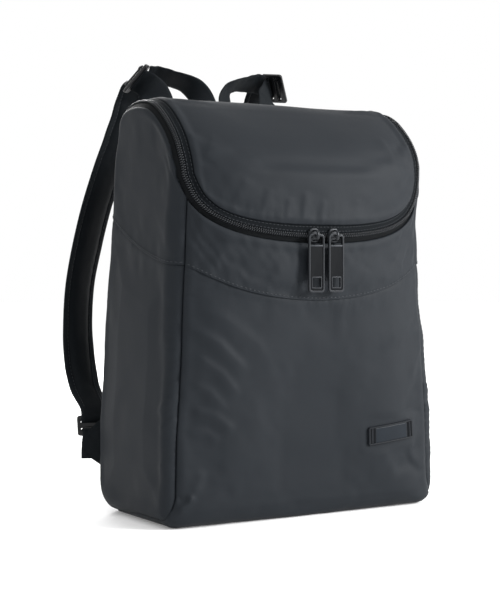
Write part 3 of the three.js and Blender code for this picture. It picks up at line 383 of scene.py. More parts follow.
# painted shade: the zip's dark tape made darker still than the lid-side tape, for the shade under the body cloth's edge
# and between the teeth
TAPE_PAINTED_SHADE = woven("zip_tape_painted_shade", (0.0012, 0.0016, 0.0020), (0.0036, 0.0045, 0.0055), pitch=0.45, rough=0.75, kind="twill", bump=0.7, spread=0.3, sheen=0.0, spec=0.1)
THREAD = woven("thread", (0.010, 0.012, 0.015), (0.022, 0.026, 0.031), pitch=0.3, rough=0.5, kind="twill", bump=0.5, spread=0.3, sheen=0.0, spec=0.3)
TEETH = hard("zip_teeth", (0.011, 0.013, 0.016), rough=0.34, spec=0.32)
# the pull's rims carry a painted edge highlight
METAL = hard("pull_metal", (0.013, 0.0145, 0.017), rough=0.38, metal=0.4, painted_edge_highlight=(0.10, 0.11, 0.125), bump=0.04, spec=0.25)
INLAY = hard("pull_inlay", (0.0040, 0.0046, 0.0056), rough=0.62, grain=2200.0, bump=0.5, spec=0.06)
PLASTIC = hard("buckle_plastic", (0.004, 0.0045, 0.0055), rough=0.36, bump=0.12, spec=0.35)
# the label frame's rims carry a painted edge highlight
LABELM = hard("label_frame", (0.0065, 0.0078, 0.0098), rough=0.45, bump=0.2, painted_edge_highlight=(0.035, 0.040, 0.048), spec=0.10)
LABELI = hard("label_inner", (0.0080, 0.0110, 0.0150), rough=0.36, bump=0.08, spec=0.10)

# ------------------------------------------------------------------ meshes
MADE = []


def make(name, verts, faces, mats, body="bag", replaces=(), uv=None, face_mat=None, smooth=True, mm=True):
    """faces: an array of quads or a list of polygons; uv: one place per vertex, in mm."""
    me = bpy.data.meshes.new(name)
    v = np.asarray(verts, float) * (MM if mm else 1)
    if isinstance(faces, np.ndarray):
        n = len(faces)
        k = faces.shape[1]
        me.vertices.add(len(v)); me.vertices.foreach_set("co", v.ravel())
        me.loops.add(n * k); me.loops.foreach_set("vertex_index", faces.astype(np.int32).ravel())
        me.polygons.add(n)
        me.polygons.foreach_set("loop_start", np.arange(n, dtype=np.int32) * k)
        me.polygons.foreach_set("loop_total", np.full(n, k, np.int32))
        me.update(calc_edges=True)
    else:
        me.from_pydata([tuple(p) for p in v], [], [tuple(int(i) for i in f) for f in faces])
    me.validate()
    o = bpy.data.objects.new(name, me)
    scene.collection.objects.link(o)
    for m in (mats if isinstance(mats, (list, tuple)) else [mats]):
        me.materials.append(m)
    if face_mat is not None:
        me.polygons.foreach_set("material_index", np.asarray(face_mat, np.int32))
    layer = me.uv_layers.new(name="UVMap")
    li = np.zeros(len(me.loops), np.int32); me.loops.foreach_get("vertex_index", li)
    if uv is None:
        uv = np.stack([v[:, 0] + v[:, 1] * 0.6, v[:, 2] + v[:, 1] * 0.3], -1) / MM
    layer.data.foreach_set("uv", np.asarray(uv, np.float32)[li].ravel())
    me.polygons.foreach_set("use_smooth", np.full(len(me.polygons), smooth))
    me.update()
    if replaces:
        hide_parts(*replaces)
    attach(o, body)
    MADE.append(o)
    return o


def grid_faces(R, C, flip=False, wrap=False):
    r, c = np.meshgrid(np.arange(R - 1), np.arange(C if wrap else C - 1), indexing="ij")
    a = r * C + c
    b = r * C + (c + 1) % C
    f = np.stack([a, b, b + C, a + C], -1).reshape(-1, 4)
    return f[:, ::-1] if flip else f


def grid_normals(P):
    du = np.gradient(P, axis=1); dv = np.gradient(P, axis=0)
    n = np.cross(du, dv)
    return n / np.maximum(np.linalg.norm(n, axis=-1, keepdims=True), 1e-9)


def edge_dists(P):
    """Distance in mm from each of the four edges, along the grid: left, right, low, high."""
    dc = np.concatenate([np.zeros_like(P[:, :1, 0]), np.cumsum(np.linalg.norm(np.diff(P, axis=1), axis=-1), 1)], 1)
    dr = np.concatenate([np.zeros_like(P[:1, :, 0]), np.cumsum(np.linalg.norm(np.diff(P, axis=0), axis=-1), 0)], 0)
    return dc, dc[:, -1:] - dc, dr, dr[-1:] - dr


def fractions(length, step, ends=(0.35, 0.8, 1.4, 2.1, 3.0, 4.0)):
    """Places along a length, close together at both ends."""
    e = np.array(ends)
    n = max(2, int(round((length - 2 * e[-1]) / step)) + 1)
    mid = np.linspace(e[-1], length - e[-1], n)
    return np.concatenate([[0], e[:-1], mid, length - e[:-1][::-1], [length]]) / length


def coons(low, high, left, right, u, v):
    """Patch between four edges in surface places; low and high run along u, left and right along v."""
    lo, hi = resample(low, at_fr=u), resample(high, at_fr=u)
    le, ri = resample(left, at_fr=v), resample(right, at_fr=v)
    U, V = u[None, :, None], v[:, None, None]
    return ((1 - V) * lo[None] + V * hi[None] + (1 - U) * le[:, None] + U * ri[:, None]
            - ((1 - U) * (1 - V) * lo[0] + U * (1 - V) * lo[-1] + (1 - U) * V * hi[0] + U * V * hi[-1]))


def simulate(P, pressure=1.0, slack=0.015, frames=18, gravity=0.3, cap=6.0, step=5.0, seed=1, bend=0.6, extra_pin=None):
    """Cloth settled between its sewn edges: the piece's grid is thinned, gets a little spare cloth, swells and sags, and the moves are
    brought back to the fine grid."""
    R, C, _ = P.shape
    L = np.linalg.norm(np.diff(P, axis=1), axis=-1).sum(1).mean(); H = np.linalg.norm(np.diff(P, axis=0), axis=-1).sum(0).mean()
    nr, nc = max(8, int(H / step)), max(8, int(L / step))
    ri, ci = np.linspace(0, R - 1, nr), np.linspace(0, C - 1, nc)
    # even spacing in length, not in index
    dc, _, dr, _ = edge_dists(P)
    fc = dc.mean(0) / dc.mean(0)[-1]; fr = dr.mean(1) / dr.mean(1)[-1]
    ci = np.interp(np.linspace(0, 1, nc), fc, np.arange(C)); ri = np.interp(np.linspace(0, 1, nr), fr, np.arange(R))
    def bil(A, ri, ci):
        r0, c0 = np.minimum(ri.astype(int), A.shape[0] - 2), np.minimum(ci.astype(int), A.shape[1] - 2)
        a, b = (ri - r0)[:, None, None], (ci - c0)[None, :, None]
        g = lambda i, j: A[np.ix_(r0 + i, c0 + j)]
        return (1 - a) * (1 - b) * g(0, 0) + a * (1 - b) * g(1, 0) + (1 - a) * b * g(0, 1) + a * b * g(1, 1)
    Q = bil(P, ri, ci)
    N = bil(grid_normals(P), ri, ci)
    rg = np.random.default_rng(seed)
    jit = rg.normal(0, 0.12, Q.shape[:2])
    jit[[0, -1]] = 0; jit[:, [0, -1]] = 0
    Q0 = Q + N * jit[..., None]
    me = bpy.data.meshes.new("settle")
    me.from_pydata([tuple(p * MM) for p in Q0.reshape(-1, 3)], [], [tuple(int(i) for i in f) for f in grid_faces(nr, nc)])
    o = bpy.data.objects.new("settle", me)
    scene.collection.objects.link(o)
    pin = o.vertex_groups.new(name="pin")
    idx = np.arange(nr * nc).reshape(nr, nc)
    edge = np.unique(np.concatenate([idx[0], idx[-1], idx[:, 0], idx[:, -1]]))
    pin.add([int(i) for i in edge], 1.0, "REPLACE")
    if extra_pin is not None:
        w = extra_pin(Q)
        for i, k in zip(idx.ravel(), w.ravel()):
            if k > 0.01:
                pin.add([int(i)], float(k), "REPLACE")
    md = o.modifiers.new("cloth", "CLOTH")
    st = md.settings
    st.quality = 6
    st.mass = 0.2
    st.tension_stiffness = st.compression_stiffness = 18
    st.shear_stiffness = 8
    st.bending_stiffness = bend
    st.tension_damping = st.compression_damping = 8
    st.air_damping = 2
    st.vertex_group_mass = "pin"
    st.use_pressure = True
    st.uniform_pressure_force = pressure
    st.shrink_min = -slack
    st.effector_weights.gravity = gravity
    md.point_cache.frame_start, md.point_cache.frame_end = 1, frames
    for f in range(1, frames + 1):
        scene.frame_set(f)
    e = o.evaluated_get(bpy.context.evaluated_depsgraph_get())
    co = np.zeros(nr * nc * 3)
    e.data.vertices.foreach_get("co", co)
    D = co.reshape(nr, nc, 3) / MM - Q
    scene.frame_set(1)
    bpy.data.objects.remove(o)
    bpy.data.meshes.remove(me)
    D[~np.isfinite(D).all(-1)] = 0
    ln = np.linalg.norm(D, axis=-1, keepdims=True)
    D *= np.minimum(1, cap / np.maximum(ln, 1e-9))
    D[[0, -1]] = 0; D[:, [0, -1]] = 0
    # smooth upsampling: catmull along both axes
    tr = np.interp(fr, np.linspace(0, 1, nr), np.arange(nr)); tc = np.interp(fc, np.linspace(0, 1, nc), np.arange(nc))
    A = catmull(D.reshape(nr, -1), tr).reshape(len(tr), nc, 3)
    B = catmull(np.moveaxis(A, 1, 0).reshape(nc, -1), tc).reshape(len(tc), len(tr), 3)
    return np.moveaxis(B, 0, 1)


def soft_edge(d, deep, wide):
    """How far a surface turns in at a seam."""
    k = np.clip(1 - d / wide, 0, 1)
    return -deep * k ** 2.2


def round_edge(d, r):
    k = np.clip(1 - d / r, 0, 1)
    return -r * (1 - np.sqrt(np.maximum(0, 1 - k * k)))


def pucker(dist, along, seed, pitch=9.0, reach=11.0, amp=0.5):
    """Small gathers that run off a seam."""
    n = noise(along / pitch, dist / (reach * 1.7) + 3.1, seed) + 0.6 * noise(along / (pitch * 0.5) + 7.7, dist / reach, seed + 5)
    gate = 0.35 + 0.65 * np.clip(noise(along / 60.0, dist * 0 + 0.5, seed + 9) * 1.6 + 0.4, 0, 1)
    return amp * n * np.exp(-dist / reach) * gate


def sheet_panel(name, P, disp, mats, replaces, flip_test, tuck=3.0, sim=None, uv_scale=1.0, mask=None, sunk=0.0, steer=None):
    """A cloth piece over a grid of points: displaced along its normal, its rim turned in, with the settled cloth's moves added."""
    N = grid_normals(P)
    if (N * flip_test(P)).sum(-1).mean() < 0:
        N = -N
    if sim is not None:
        D = simulate(P, **sim)
    else:
        D = np.zeros_like(P)
    dl, dr, db, dt = edge_dists(P)
    R, C, _ = P.shape
    N = N[np.clip(np.arange(R), 5, R - 6)][:, np.clip(np.arange(C), 5, C - 6)]
    # a grid that folds over at a sharp corner has its normals turned round there
    N = np.where(((N * flip_test(P)).sum(-1) < -0.2)[..., None], -N, N)
    if steer is not None:
        centre, reach, normal = steer
        k = np.exp(-(((P - centre) ** 2).sum(-1) / reach ** 2) ** 2)[..., None]
        N = N * (1 - k) + normal * k
        N = N / np.linalg.norm(N, axis=-1, keepdims=True)
    d = disp(P, dl, dr, db, dt)
    if mask is not None:
        k = mask(P)
        d, D = d * k - sunk * (1 - k), D * k[..., None]
    V = P + N * d[..., None] + D
    V[..., 2] = np.maximum(V[..., 2], 0.05)
    # rim, turned in
    ring_i = np.concatenate([np.arange(C), (np.arange(1, R) * C + C - 1), ((R - 1) * C + np.arange(C - 2, -1, -1)), (np.arange(R - 2, 0, -1) * C)])
    N2 = grid_normals(V)
    if (N2 * N).sum() < 0:
        N2 = -N2
    rim = V.reshape(-1, 3)[ring_i]
    rn = N.reshape(-1, 3)[ring_i]
    verts = [V.reshape(-1, 3), rim - rn * tuck * 0.5, rim - rn * tuck]
    for q in verts[1:]:
        q[:, 2] = np.maximum(q[:, 2], 0.05)
    n0, m = R * C, len(ring_i)
    nxt = np.roll(np.arange(m), -1)
    f1 = np.stack([ring_i, n0 + np.arange(m), n0 + nxt, ring_i[nxt]], -1)
    f2 = np.stack([n0 + np.arange(m), n0 + m + np.arange(m), n0 + m + nxt, n0 + nxt], -1)
    faces = np.vstack([grid_faces(R, C), f1, f2])
    # orient outward
    a, b, c = (V.reshape(-1, 3)[faces[:(R - 1) * (C - 1), i]] for i in (0, 1, 3))
    fn = np.cross(b - a, c - a)
    g = grid_faces(R, C)[:, 0]
    if (fn * N.reshape(-1, 3)[g]).sum() < 0:
        faces = faces[:, ::-1]
    uv = np.stack([dl, db], -1).reshape(-1, 2) * uv_scale
    uv = np.vstack([uv, uv[ring_i], uv[ring_i]])
    o = make(name, np.vstack(verts), faces, mats, replaces=replaces, uv=uv)
    ar = np.zeros(len(o.data.polygons)); o.data.polygons.foreach_get("area", ar)
    return o, V, N


def outward(P):
    c = np.array([0, -8.0, 180.0])
    q = P - c
    q[..., 2] *= 0.25
    return q / np.linalg.norm(q, axis=-1, keepdims=True)


def stitch_row(points, normals, length=2.6, gap=1.1, wide=0.62, lift=0.12):
    """Vertices and faces of a row of short stitches along a line."""
    p = np.asarray(points, float)
    d = np.concatenate([[0], np.cumsum(np.linalg.norm(np.diff(p, axis=0), axis=1))])
    n = max(1, int(d[-1] / (length + gap)))
    V, F = [], []
    prof = np.array([(-0.5, 0.0), (-0.36, 0.75), (0.0, 1.0), (0.36, 0.75), (0.5, 0.0)])
    for i in range(n):
        c = (i + 0.5) * d[-1] / n
        base = len(V)
        cc = np.array([np.interp(c, d, p[:, k]) for k in range(3)])
        ca = np.array([np.interp(c - 1, d, p[:, k]) for k in range(3)]); cb = np.array([np.interp(c + 1, d, p[:, k]) for k in range(3)])
        nn = np.array([np.interp(c, d, normals[:, k]) for k in range(3)]); nn /= np.linalg.norm(nn)
        t = cb - ca; t -= nn * (t @ nn); t /= np.linalg.norm(t) + 1e-9
        b = np.cross(nn, t)
        for (a, w) in prof:
            for k in range(6):
                an = math.pi * 2 * k / 6
                V.append(cc + t * a * length + b * math.cos(an) * wide * 0.5 * max(w, 0.35) + nn * (lift - (0.28 if w == 0 else 0) + math.sin(an) * wide * 0.42 * max(w, 0.35)))
        for r in range(4):
            for k in range(6):
                F.append((base + r * 6 + k, base + r * 6 + (k + 1) % 6, base + (r + 1) * 6 + (k + 1) % 6, base + (r + 1) * 6 + k))
    return np.array(V), np.array(F)


def add_stitches(name, rows, mat=None, body="bag", slot="webbing", **kw):
    V, F, n = [], [], 0
    for p, nrm in rows:
        v, f = stitch_row(p, nrm, **kw)
        V.append(v); F.append(f + n); n += len(v)
    return make(name, np.vstack(V), np.vstack(F), mat or THREAD, body=body)


# ------------------------------------------------------------------ lid
D_END, D_ARCH, D_SEAM = RUN[-1], RUN[I_ARCH], RUN[I_SEAM]
STEP = 1.7


def lid_grid():
    hinge = S_END + 0.2
    side = lambda m: zip_edge(np.linspace(D_END, D_SEAM, 200), -GF, m)
    left, right = side(-1), side(1)
    left[0, 0] = right[0, 0] = hinge
    front = np.vstack([zip_edge(np.linspace(D_SEAM, 0, 160), -GF, -1), zip_edge(np.linspace(0, D_SEAM, 160), -GF, 1)[1:]])
    top = np.stack([np.full(50, hinge), np.linspace(left[0, 1], right[0, 1], 50)], -1)
    u, v = fractions(250, STEP), fractions(265, STEP)
    return coons(top, front, left, right, u, v)


def lid_disp(P, dl, dr, db, dt):
    x, z, y = P[..., 0], P[..., 2], P[..., 1]
    d = np.minimum(np.minimum(dl, dr), dt)
    o = round_edge(d, 1.3) + 0.9 * np.exp(-((d - 4.5) / 3.6) ** 2) + 0.2
    run = np.where(dt < np.minimum(dl, dr), x, y * 1.2 + z)
    o += pucker(dt, x, 11, pitch=8, reach=13, amp=0.55) + pucker(dl, y + z, 12, pitch=10, reach=12, amp=0.35) + pucker(dr, y + z, 13, pitch=10, reach=13, amp=0.45)
    wave = noise(x / 80, z / 80 + y / 90, 21) * 0.9 + noise(x / 36, (z + y) / 46, 22) * 0.16
    o += wave * np.clip(d / 25, 0, 1)
    front = np.clip((-y - 40) / 25, 0, 1)
    for line, h, w, sk in LID_FOLDS:
        o += front * fold(x, z, line, h, w, sk)
    return o


# folds on the lid's front: line of x, z; height, width, skew
LID_FOLDS = [
    ([(-38, 268), (-35, 290)], 0.7, 4.0, 0.3), ([(-22, 266), (-18, 296)], 0.8, 4.5, 0.3), ([(-4, 266), (1, 288)], 0.6, 4.0, 0.2),
    ([(-62, 272), (-54, 298)], 0.6, 5.0, 0.3), ([(-88, 280), (-74, 306)], 0.6, 6.0, 0.3), ([(34, 268), (40, 290)], 0.5, 5.0, 0.2),
    ([(96, 300), (88, 330), (84, 352)], 1.1, 6.5, -0.3), ([(108, 318), (101, 345)], -0.9, 5.0, 0.0), ([(74, 278), (92, 300), (104, 330)], 0.8, 7.0, 0.3),
    ([(-112, 318), (-96, 345)], 0.8, 6.0, 0.3), ([(-96, 300), (-60, 322)], 0.5, 12.0, 0.2),
]


def front_run(lo, hi, n, m):
    s = np.linspace(lo, hi, n)
    return np.stack([s, m * (seam_x(s) - GAP / 2)], -1)


S_YOKE_F, S_YOKE_B = float(s_front(YOKE_FRONT_Z)), float(s_back(YOKE_BACK_Z))
S_CORNER_F, S_CORNER_B = float(s_front(7)), float(s_back(8))
S_UNDER_F, S_UNDER_B = float(s_base(BASE_FRONT_Y)), float(s_base(BASE_BACK_Y))


def yoke_line(x):
    t = np.abs(x)
    # smooth curve through the table
    z = catmull(YOKE_SEAM, np.interp(np.linspace(0, 6, 121), np.arange(7), np.arange(7)))
    return s_front(np.interp(t, z[:, 0], z[:, 1]))


P_SEAM = zip_edge(np.array([D_SEAM]), 1 + GF, 1)[0]
ZIP_Z = float(at(P_SEAM[0])["z"])


def yoke_grid():
    xs = float(seam_x(S_YOKE_F)) - GAP / 2
    up = np.vstack([zip_edge(np.linspace(D_SEAM, 0, 160), 1 + GF, -1), zip_edge(np.linspace(0, D_SEAM, 160), 1 + GF, 1)[1:]])
    up[0, 1] += GAP; up[-1, 1] -= GAP
    x = np.linspace(-xs, xs, 200)
    low = np.stack([yoke_line(x) + ARC_LAP, x], -1)
    left = front_run(up[0, 0], low[0, 0], 60, -1); right = front_run(up[-1, 0], low[-1, 0], 60, 1)
    left[0], right[0] = up[0], up[-1]
    return coons(up, low, left, right, fractions(270, STEP), fractions(62, STEP))


YOKE_FOLDS = [
    ([(-122, 246), (-100, 249), (-74, 243)], -1.0, 5.0, 0.3), ([(-120, 238), (-96, 234)], 0.8, 4.5, 0.0), ([(-118, 262), (-100, 272)], 0.6, 5.0, 0.0),
    ([(-60, 214), (-40, 222), (-20, 240)], 0.6, 8.0, 0.2), ([(-30, 200), (-26, 216)], 0.5, 3.5, 0.2), ([(40, 202), (52, 226)], 0.5, 6.0, 0.2),
    ([(100, 224), (112, 244)], -0.8, 5.0, 0.2), ([(84, 216), (100, 236), (108, 256)], 0.7, 6.0, -0.2), ([(-24, 206), (-23, 246)], -0.9, 4.5, -0.2),
]


def yoke_disp(P, dl, dr, db, dt):
    x, z = P[..., 0], P[..., 2]
    d = np.minimum(dl, dr)
    up, low = db, dt
    o = round_edge(np.minimum(up, d), 1.3) + soft_edge(d, 1.6, 9) + 0.35 * np.exp(-(low / 3.0) ** 2) + 0.7 * np.exp(-((up - 4.5) / 3.5) ** 2) + 0.3
    o += round_edge(low, 0.3)
    o += pucker(low, x, 31, pitch=5.5, reach=9, amp=0.42) + pucker(d, z, 32, pitch=9, reach=12, amp=0.5) + pucker(up, x, 33, pitch=9, reach=9, amp=0.3)
    o += (noise(x / 50, z / 34, 34) * 0.9 + noise(x / 22, z / 20, 35) * 0.3) * np.clip(np.minimum(d, np.minimum(up, low)) / 12, 0, 1)
    for line, h, w, sk in YOKE_FOLDS:
        o += fold(x, z, line, h, w, sk)
    return o


def front_grid():
    xs = float(seam_x(S_YOKE_F)) - GAP / 2
    x = np.linspace(-xs, xs, 240)
    up = np.stack([yoke_line(x), x], -1)
    s_low = S_UNDER_F
    w = float(seam_x(s_low)) - GAP / 2
    low = np.stack([np.full(200, s_low), np.linspace(-w, w, 200)], -1)
    left = front_run(up[0, 0], s_low, 240, -1); right = front_run(up[-1, 0], s_low, 240, 1)
    left[0], right[0], left[-1], right[-1] = up[0], up[-1], low[0], low[-1]
    return coons(up, low, left, right, fractions(285, STEP), fractions(250, STEP))


# folds on the lower front: line of x, z; height, width, skew
FRONT_FOLDS = [
    ([(-128, 176), (-100, 160), (-72, 132)], 1.3, 7.5, 0.35), ([(-124, 152), (-98, 134), (-80, 112)], 1.2, 6.5, 0.35), ([(-128, 128), (-108, 118), (-92, 100)], 1.0, 6.0, 0.3),
    ([(-126, 104), (-104, 98), (-84, 82)], 1.0, 6.0, 0.3), ([(-122, 190), (-96, 182), (-66, 160), (-50, 138)], 0.9, 9.0, 0.3), ([(-130, 84), (-112, 84), (-98, 74)], 0.8, 5.0, 0.3),
    ([(-130, 20), (-120, 34), (-112, 52)], 0.9, 5.0, -0.2), ([(-137, 14), (-128, 22), (-122, 30)], 1.5, 3.2, 0.2), ([(-136, 26), (-126, 27)], -0.9, 3.0, 0.0),
    ([(-116, 214), (-84, 200), (-40, 193)], -0.8, 8.0, 0.2), ([(-60, 60), (0, 48), (70, 52)], -0.7, 20.0, 0.0), ([(60, 150), (100, 170), (124, 196)], 0.9, 10.0, -0.3),
    ([(110, 120), (124, 150), (128, 180)], 0.8, 6.0, -0.2), ([(118, 60), (126, 90)], 0.8, 5.0, 0.0), ([(130, 34), (118, 44), (110, 60)], 0.9, 5.0, 0.2), ([(90, 36), (112, 42), (132, 30)], -0.7, 7.0, 0.0),
    ([(-20, 180), (10, 150), (14, 110)], 0.6, 16.0, 0.2), ([(-70, 120), (-60, 80), (-70, 40)], 0.6, 12.0, 0.2),
]


def front_disp(P, dl, dr, db, dt):
    x, z, y = P[..., 0], P[..., 2], P[..., 1]
    up, low = db, dt
    d = np.minimum(dl, dr)
    face = np.clip((z - 4) / 16, 0, 1)
    o = soft_edge(up, 0.7, 5.0) + face * (round_edge(d, 1.4) + soft_edge(d, 1.0, 6) + 0.5 * np.exp(-((d - 6) / 4.5) ** 2)) + 0.25 * face
    o += pucker(up, x, 41, pitch=5.5, reach=9, amp=0.42) * face + pucker(dl, z, 42, pitch=8, reach=15, amp=0.75) * face + pucker(dr, z, 43, pitch=9, reach=13, amp=0.6) * face
    wave = noise(x / 90, z / 80, 44) * 1.3 + noise(x / 38, z / 42, 45) * 0.28 + noise(x / 14, z / 17, 46) * 0.05
    o += wave * np.clip(np.minimum(d, up) / 20, 0, 1) * face
    for line, h, w, sk in FRONT_FOLDS:
        o += 1.35 * fold(x, z, line, h, w, sk) * np.clip((z - 6) / 12, 0, 1) * (y < -40)
    return o


def label_clear(P):
    """1 on open cloth, 0 under the label."""
    a = np.maximum(np.abs(P[..., 0] - 86.4) - 27, 0); b = np.maximum(np.abs(P[..., 2] - 71.6) - 10.5, 0)
    return ease((np.hypot(a, b) - 1.0) / 10) * (P[..., 1] < -40) + (P[..., 1] >= -40)


def grid_from(pl):
    return surf(pl[..., 0], pl[..., 1])


LID = sheet_panel("lid_cloth", grid_from(lid_grid()), lid_disp, SHELL, ["lid_panel"], outward, sim=dict(pressure=0.5, slack=0.002, frames=14, gravity=0.25, cap=1.5, step=8.0, seed=3, bend=2.0))
YOKE = sheet_panel("yoke_cloth", grid_from(yoke_grid()), yoke_disp, SHELL, ["front_yoke"], outward, sim=dict(pressure=0.4, slack=0.004, frames=14, gravity=0.2, cap=1.2, step=6.0, seed=4))
FRONT = sheet_panel("front_cloth", grid_from(front_grid()), front_disp, SHELL, ["front_panel"], outward, mask=label_clear, sim=dict(pressure=0.5, slack=0.0015, frames=16, gravity=0.25, cap=2.0, step=9.0, seed=5, bend=3.0))


# ------------------------------------------------------------------ base
def base_part():
    s0, s1 = S_UNDER_F + GAP / 2 - TOTAL, S_UNDER_B - GAP / 2
    v = fractions(88, 3.0); u = fractions(290, 2.4)
    s = s0 + (s1 - s0) * v
    sw = np.where(s < 0, s + TOTAL, s)
    w = seam_x(sw) - GAP / 2
    G = np.stack([np.broadcast_to(sw[:, None], (len(v), len(u))), -w[:, None] + 2 * w[:, None] * u[None]], -1)
    P = surf(G[..., 0], G[..., 1])

    def disp(P, dl, dr, db, dt):
        d = np.minimum(dl, dr)
        return 0.35 * np.exp(-d / 8) * 0 + np.where(np.minimum(db, dt) < 1.2, 0.25, 0.0) * 0 + 0.05
    return sheet_panel("base_cloth", P, lambda P, a, b, c, d: 0.05 + 0 * a, SHELL, ["base_panel"], lambda P: np.broadcast_to([0, 0, -1.0], P.shape))


base_part()


# ------------------------------------------------------------------ side panels
def flat_yz(pl):
    p = surf(pl[:, 0], pl[:, 1])
    return p[:, 1:]


def seam_place(s):
    return np.stack([s, seam_x(s) + GAP / 2], -1)


def ring_base(n):
    run = (TOTAL - S_CORNER_F) + S_CORNER_B
    d = np.linspace(0, 1, n) * run
    s = S_CORNER_F + d
    return np.where(s < TOTAL, s, s - TOTAL)


yf = flat_yz(seam_place(np.array([S_YOKE_F])))[0]
yb = flat_yz(seam_place(np.array([S_YOKE_B])))[0]
fr = np.linspace(0, 1, 80)
SIDE_SEAM = np.stack([yf[0] + (yb[0] - yf[0]) * fr, yf[1] + (yb[1] - yf[1]) * fr - YOKE_SIDE_SAG * 4 * fr * (1 - fr)], -1)
SIDE_BULGE = 3.0


def side_points(G):
    """3-D points of the +X side panel from its (y, z) grid: the height field inside, the exact seam at the rim."""
    x = side_x(G[..., 0], G[..., 1]).reshape(G.shape[:2])
    return np.stack([x, G[..., 0], G[..., 1]], -1)


def snap_rim(P, low, high, left, right, u, v):
    """Puts the rim on the exact seam lines and blends that over a few rows."""
    tgt = [resample(low, at_fr=u), resample(high, at_fr=u), resample(left, at_fr=v), resample(right, at_fr=v)]
    dl, dr, db, dt = edge_dists(P)
    Q = P.copy()
    for d, t, ax in ((db, tgt[0], 0), (dt, tgt[1], 1), (dl, tgt[2], 2), (dr, tgt[3], 3)):
        e = t[None] if ax < 2 else t[:, None]
        edge = {0: P[:1], 1: P[-1:], 2: P[:, :1], 3: P[:, -1:]}[ax]
        k = np.exp(-(d / 4.0) ** 2)[..., None]
        Q += (e - edge) * k
    # the corners were moved by both of their edges
    for i, a, da in ((0, 0, db), (-1, 1, dt)):
        for j, b, dd in ((0, 2, dl), (-1, 3, dr)):
            corner = 0.5 * (tgt[a][j] + tgt[b][i]) - P[i, j]
            Q -= corner * (np.exp(-(da / 4.0) ** 2) * np.exp(-(dd / 4.0) ** 2))[..., None]
    # near each corner the patch between the four exact seam lines takes over
    U, W = u[None, :, None], v[:, None, None]
    patch = (1 - W) * tgt[0][None] + W * tgt[1][None] + (1 - U) * tgt[2][:, None] + U * tgt[3][:, None]
    patch = patch - ((1 - U) * (1 - W) * tgt[0][0] + U * (1 - W) * tgt[0][-1] + (1 - U) * W * tgt[1][0] + U * W * tgt[1][-1])
    near = np.maximum.reduce([np.exp(-(a * a + b * b) / 64.0) for a in (db, dt) for b in (dl, dr)])[..., None]
    Q = Q * (1 - near) + patch * near
    Q[0], Q[-1], Q[:, 0], Q[:, -1] = tgt[0], tgt[1], tgt[2], tgt[3]
    return Q


SIDE_FOLDS = [
    ([(-78, 118), (-66, 112), (-52, 98)], 0.9, 4.5, 0.2), ([(-78, 96), (-68, 94), (-58, 84)], 0.9, 4.0, 0.2), ([(-76, 132), (-62, 130)], -0.7, 4.0, 0.2), ([(-78, 80), (-70, 78)], 0.7, 3.0, 0.0),
    ([(-60, 60), (-30, 90), (20, 100)], 0.7, 16.0, 0.2), ([(40, 60), (20, 120), (30, 180)], 0.8, 14.0, 0.0), ([(-70, 200), (-30, 190), (20, 205)], -0.7, 12.0, 0.0),
    ([(-66, 30), (-40, 40), (-10, 34)], 0.6, 10.0, 0.2), ([(52, 220), (40, 170)], 0.7, 9.0, 0.0), ([(-70, 40), (-60, 60)], 0.6, 5.0, 0.2), ([(-72, 150), (-50, 172)], 0.6, 8.0, 0.2),
]


def side_disp(seed, upper):
    def disp(P, dl, dr, db, dt):
        y, z = P[..., 1], P[..., 2]
        front, back, low, high = dl, dr, db, dt
        d = np.minimum(front, back)
        m = np.minimum(d, np.minimum(low, high))
        kz = ease((z - ZIP_Z + 2) / 8) if upper else 0 * z
        o = (soft_edge(front, 2.0, 7) + round_edge(front, 1.3)) * (1 - kz) + soft_edge(back, 1.2, 7) + (soft_edge(high, 0.7, 5.0) if not upper else 0.35 * np.exp(-(low / 3.0) ** 2) + round_edge(low, 0.3))
        if upper:
            e = np.minimum(high, front + (1 - kz) * 40)
            o += round_edge(e, 1.2) + 0.6 * np.exp(-((e - 4.5) / 3.5) ** 2)
        else:
            o += soft_edge(low, 1.0, 5) + round_edge(low, 0.8)
        o += SIDE_BULGE * np.clip(m / 45, 0, 1) ** 1.5 * (0.45 if upper else 1.0)
        o += pucker(front, z, seed, pitch=9, reach=11, amp=0.42) + pucker(back, z, seed + 1, pitch=10, reach=12, amp=0.4) + pucker(high if not upper else low, y, seed + 2, pitch=6, reach=8, amp=0.4)
        o += (noise(y / 52, z / 70, seed + 3) * 1.0 + noise(y / 24, z / 34, seed + 4) * 0.16) * np.clip(m / 15, 0, 1)
        if not upper:
            for line, h, w, sk in SIDE_FOLDS:
                o += fold(y, z, line, h, w, sk)
        return o
    return disp


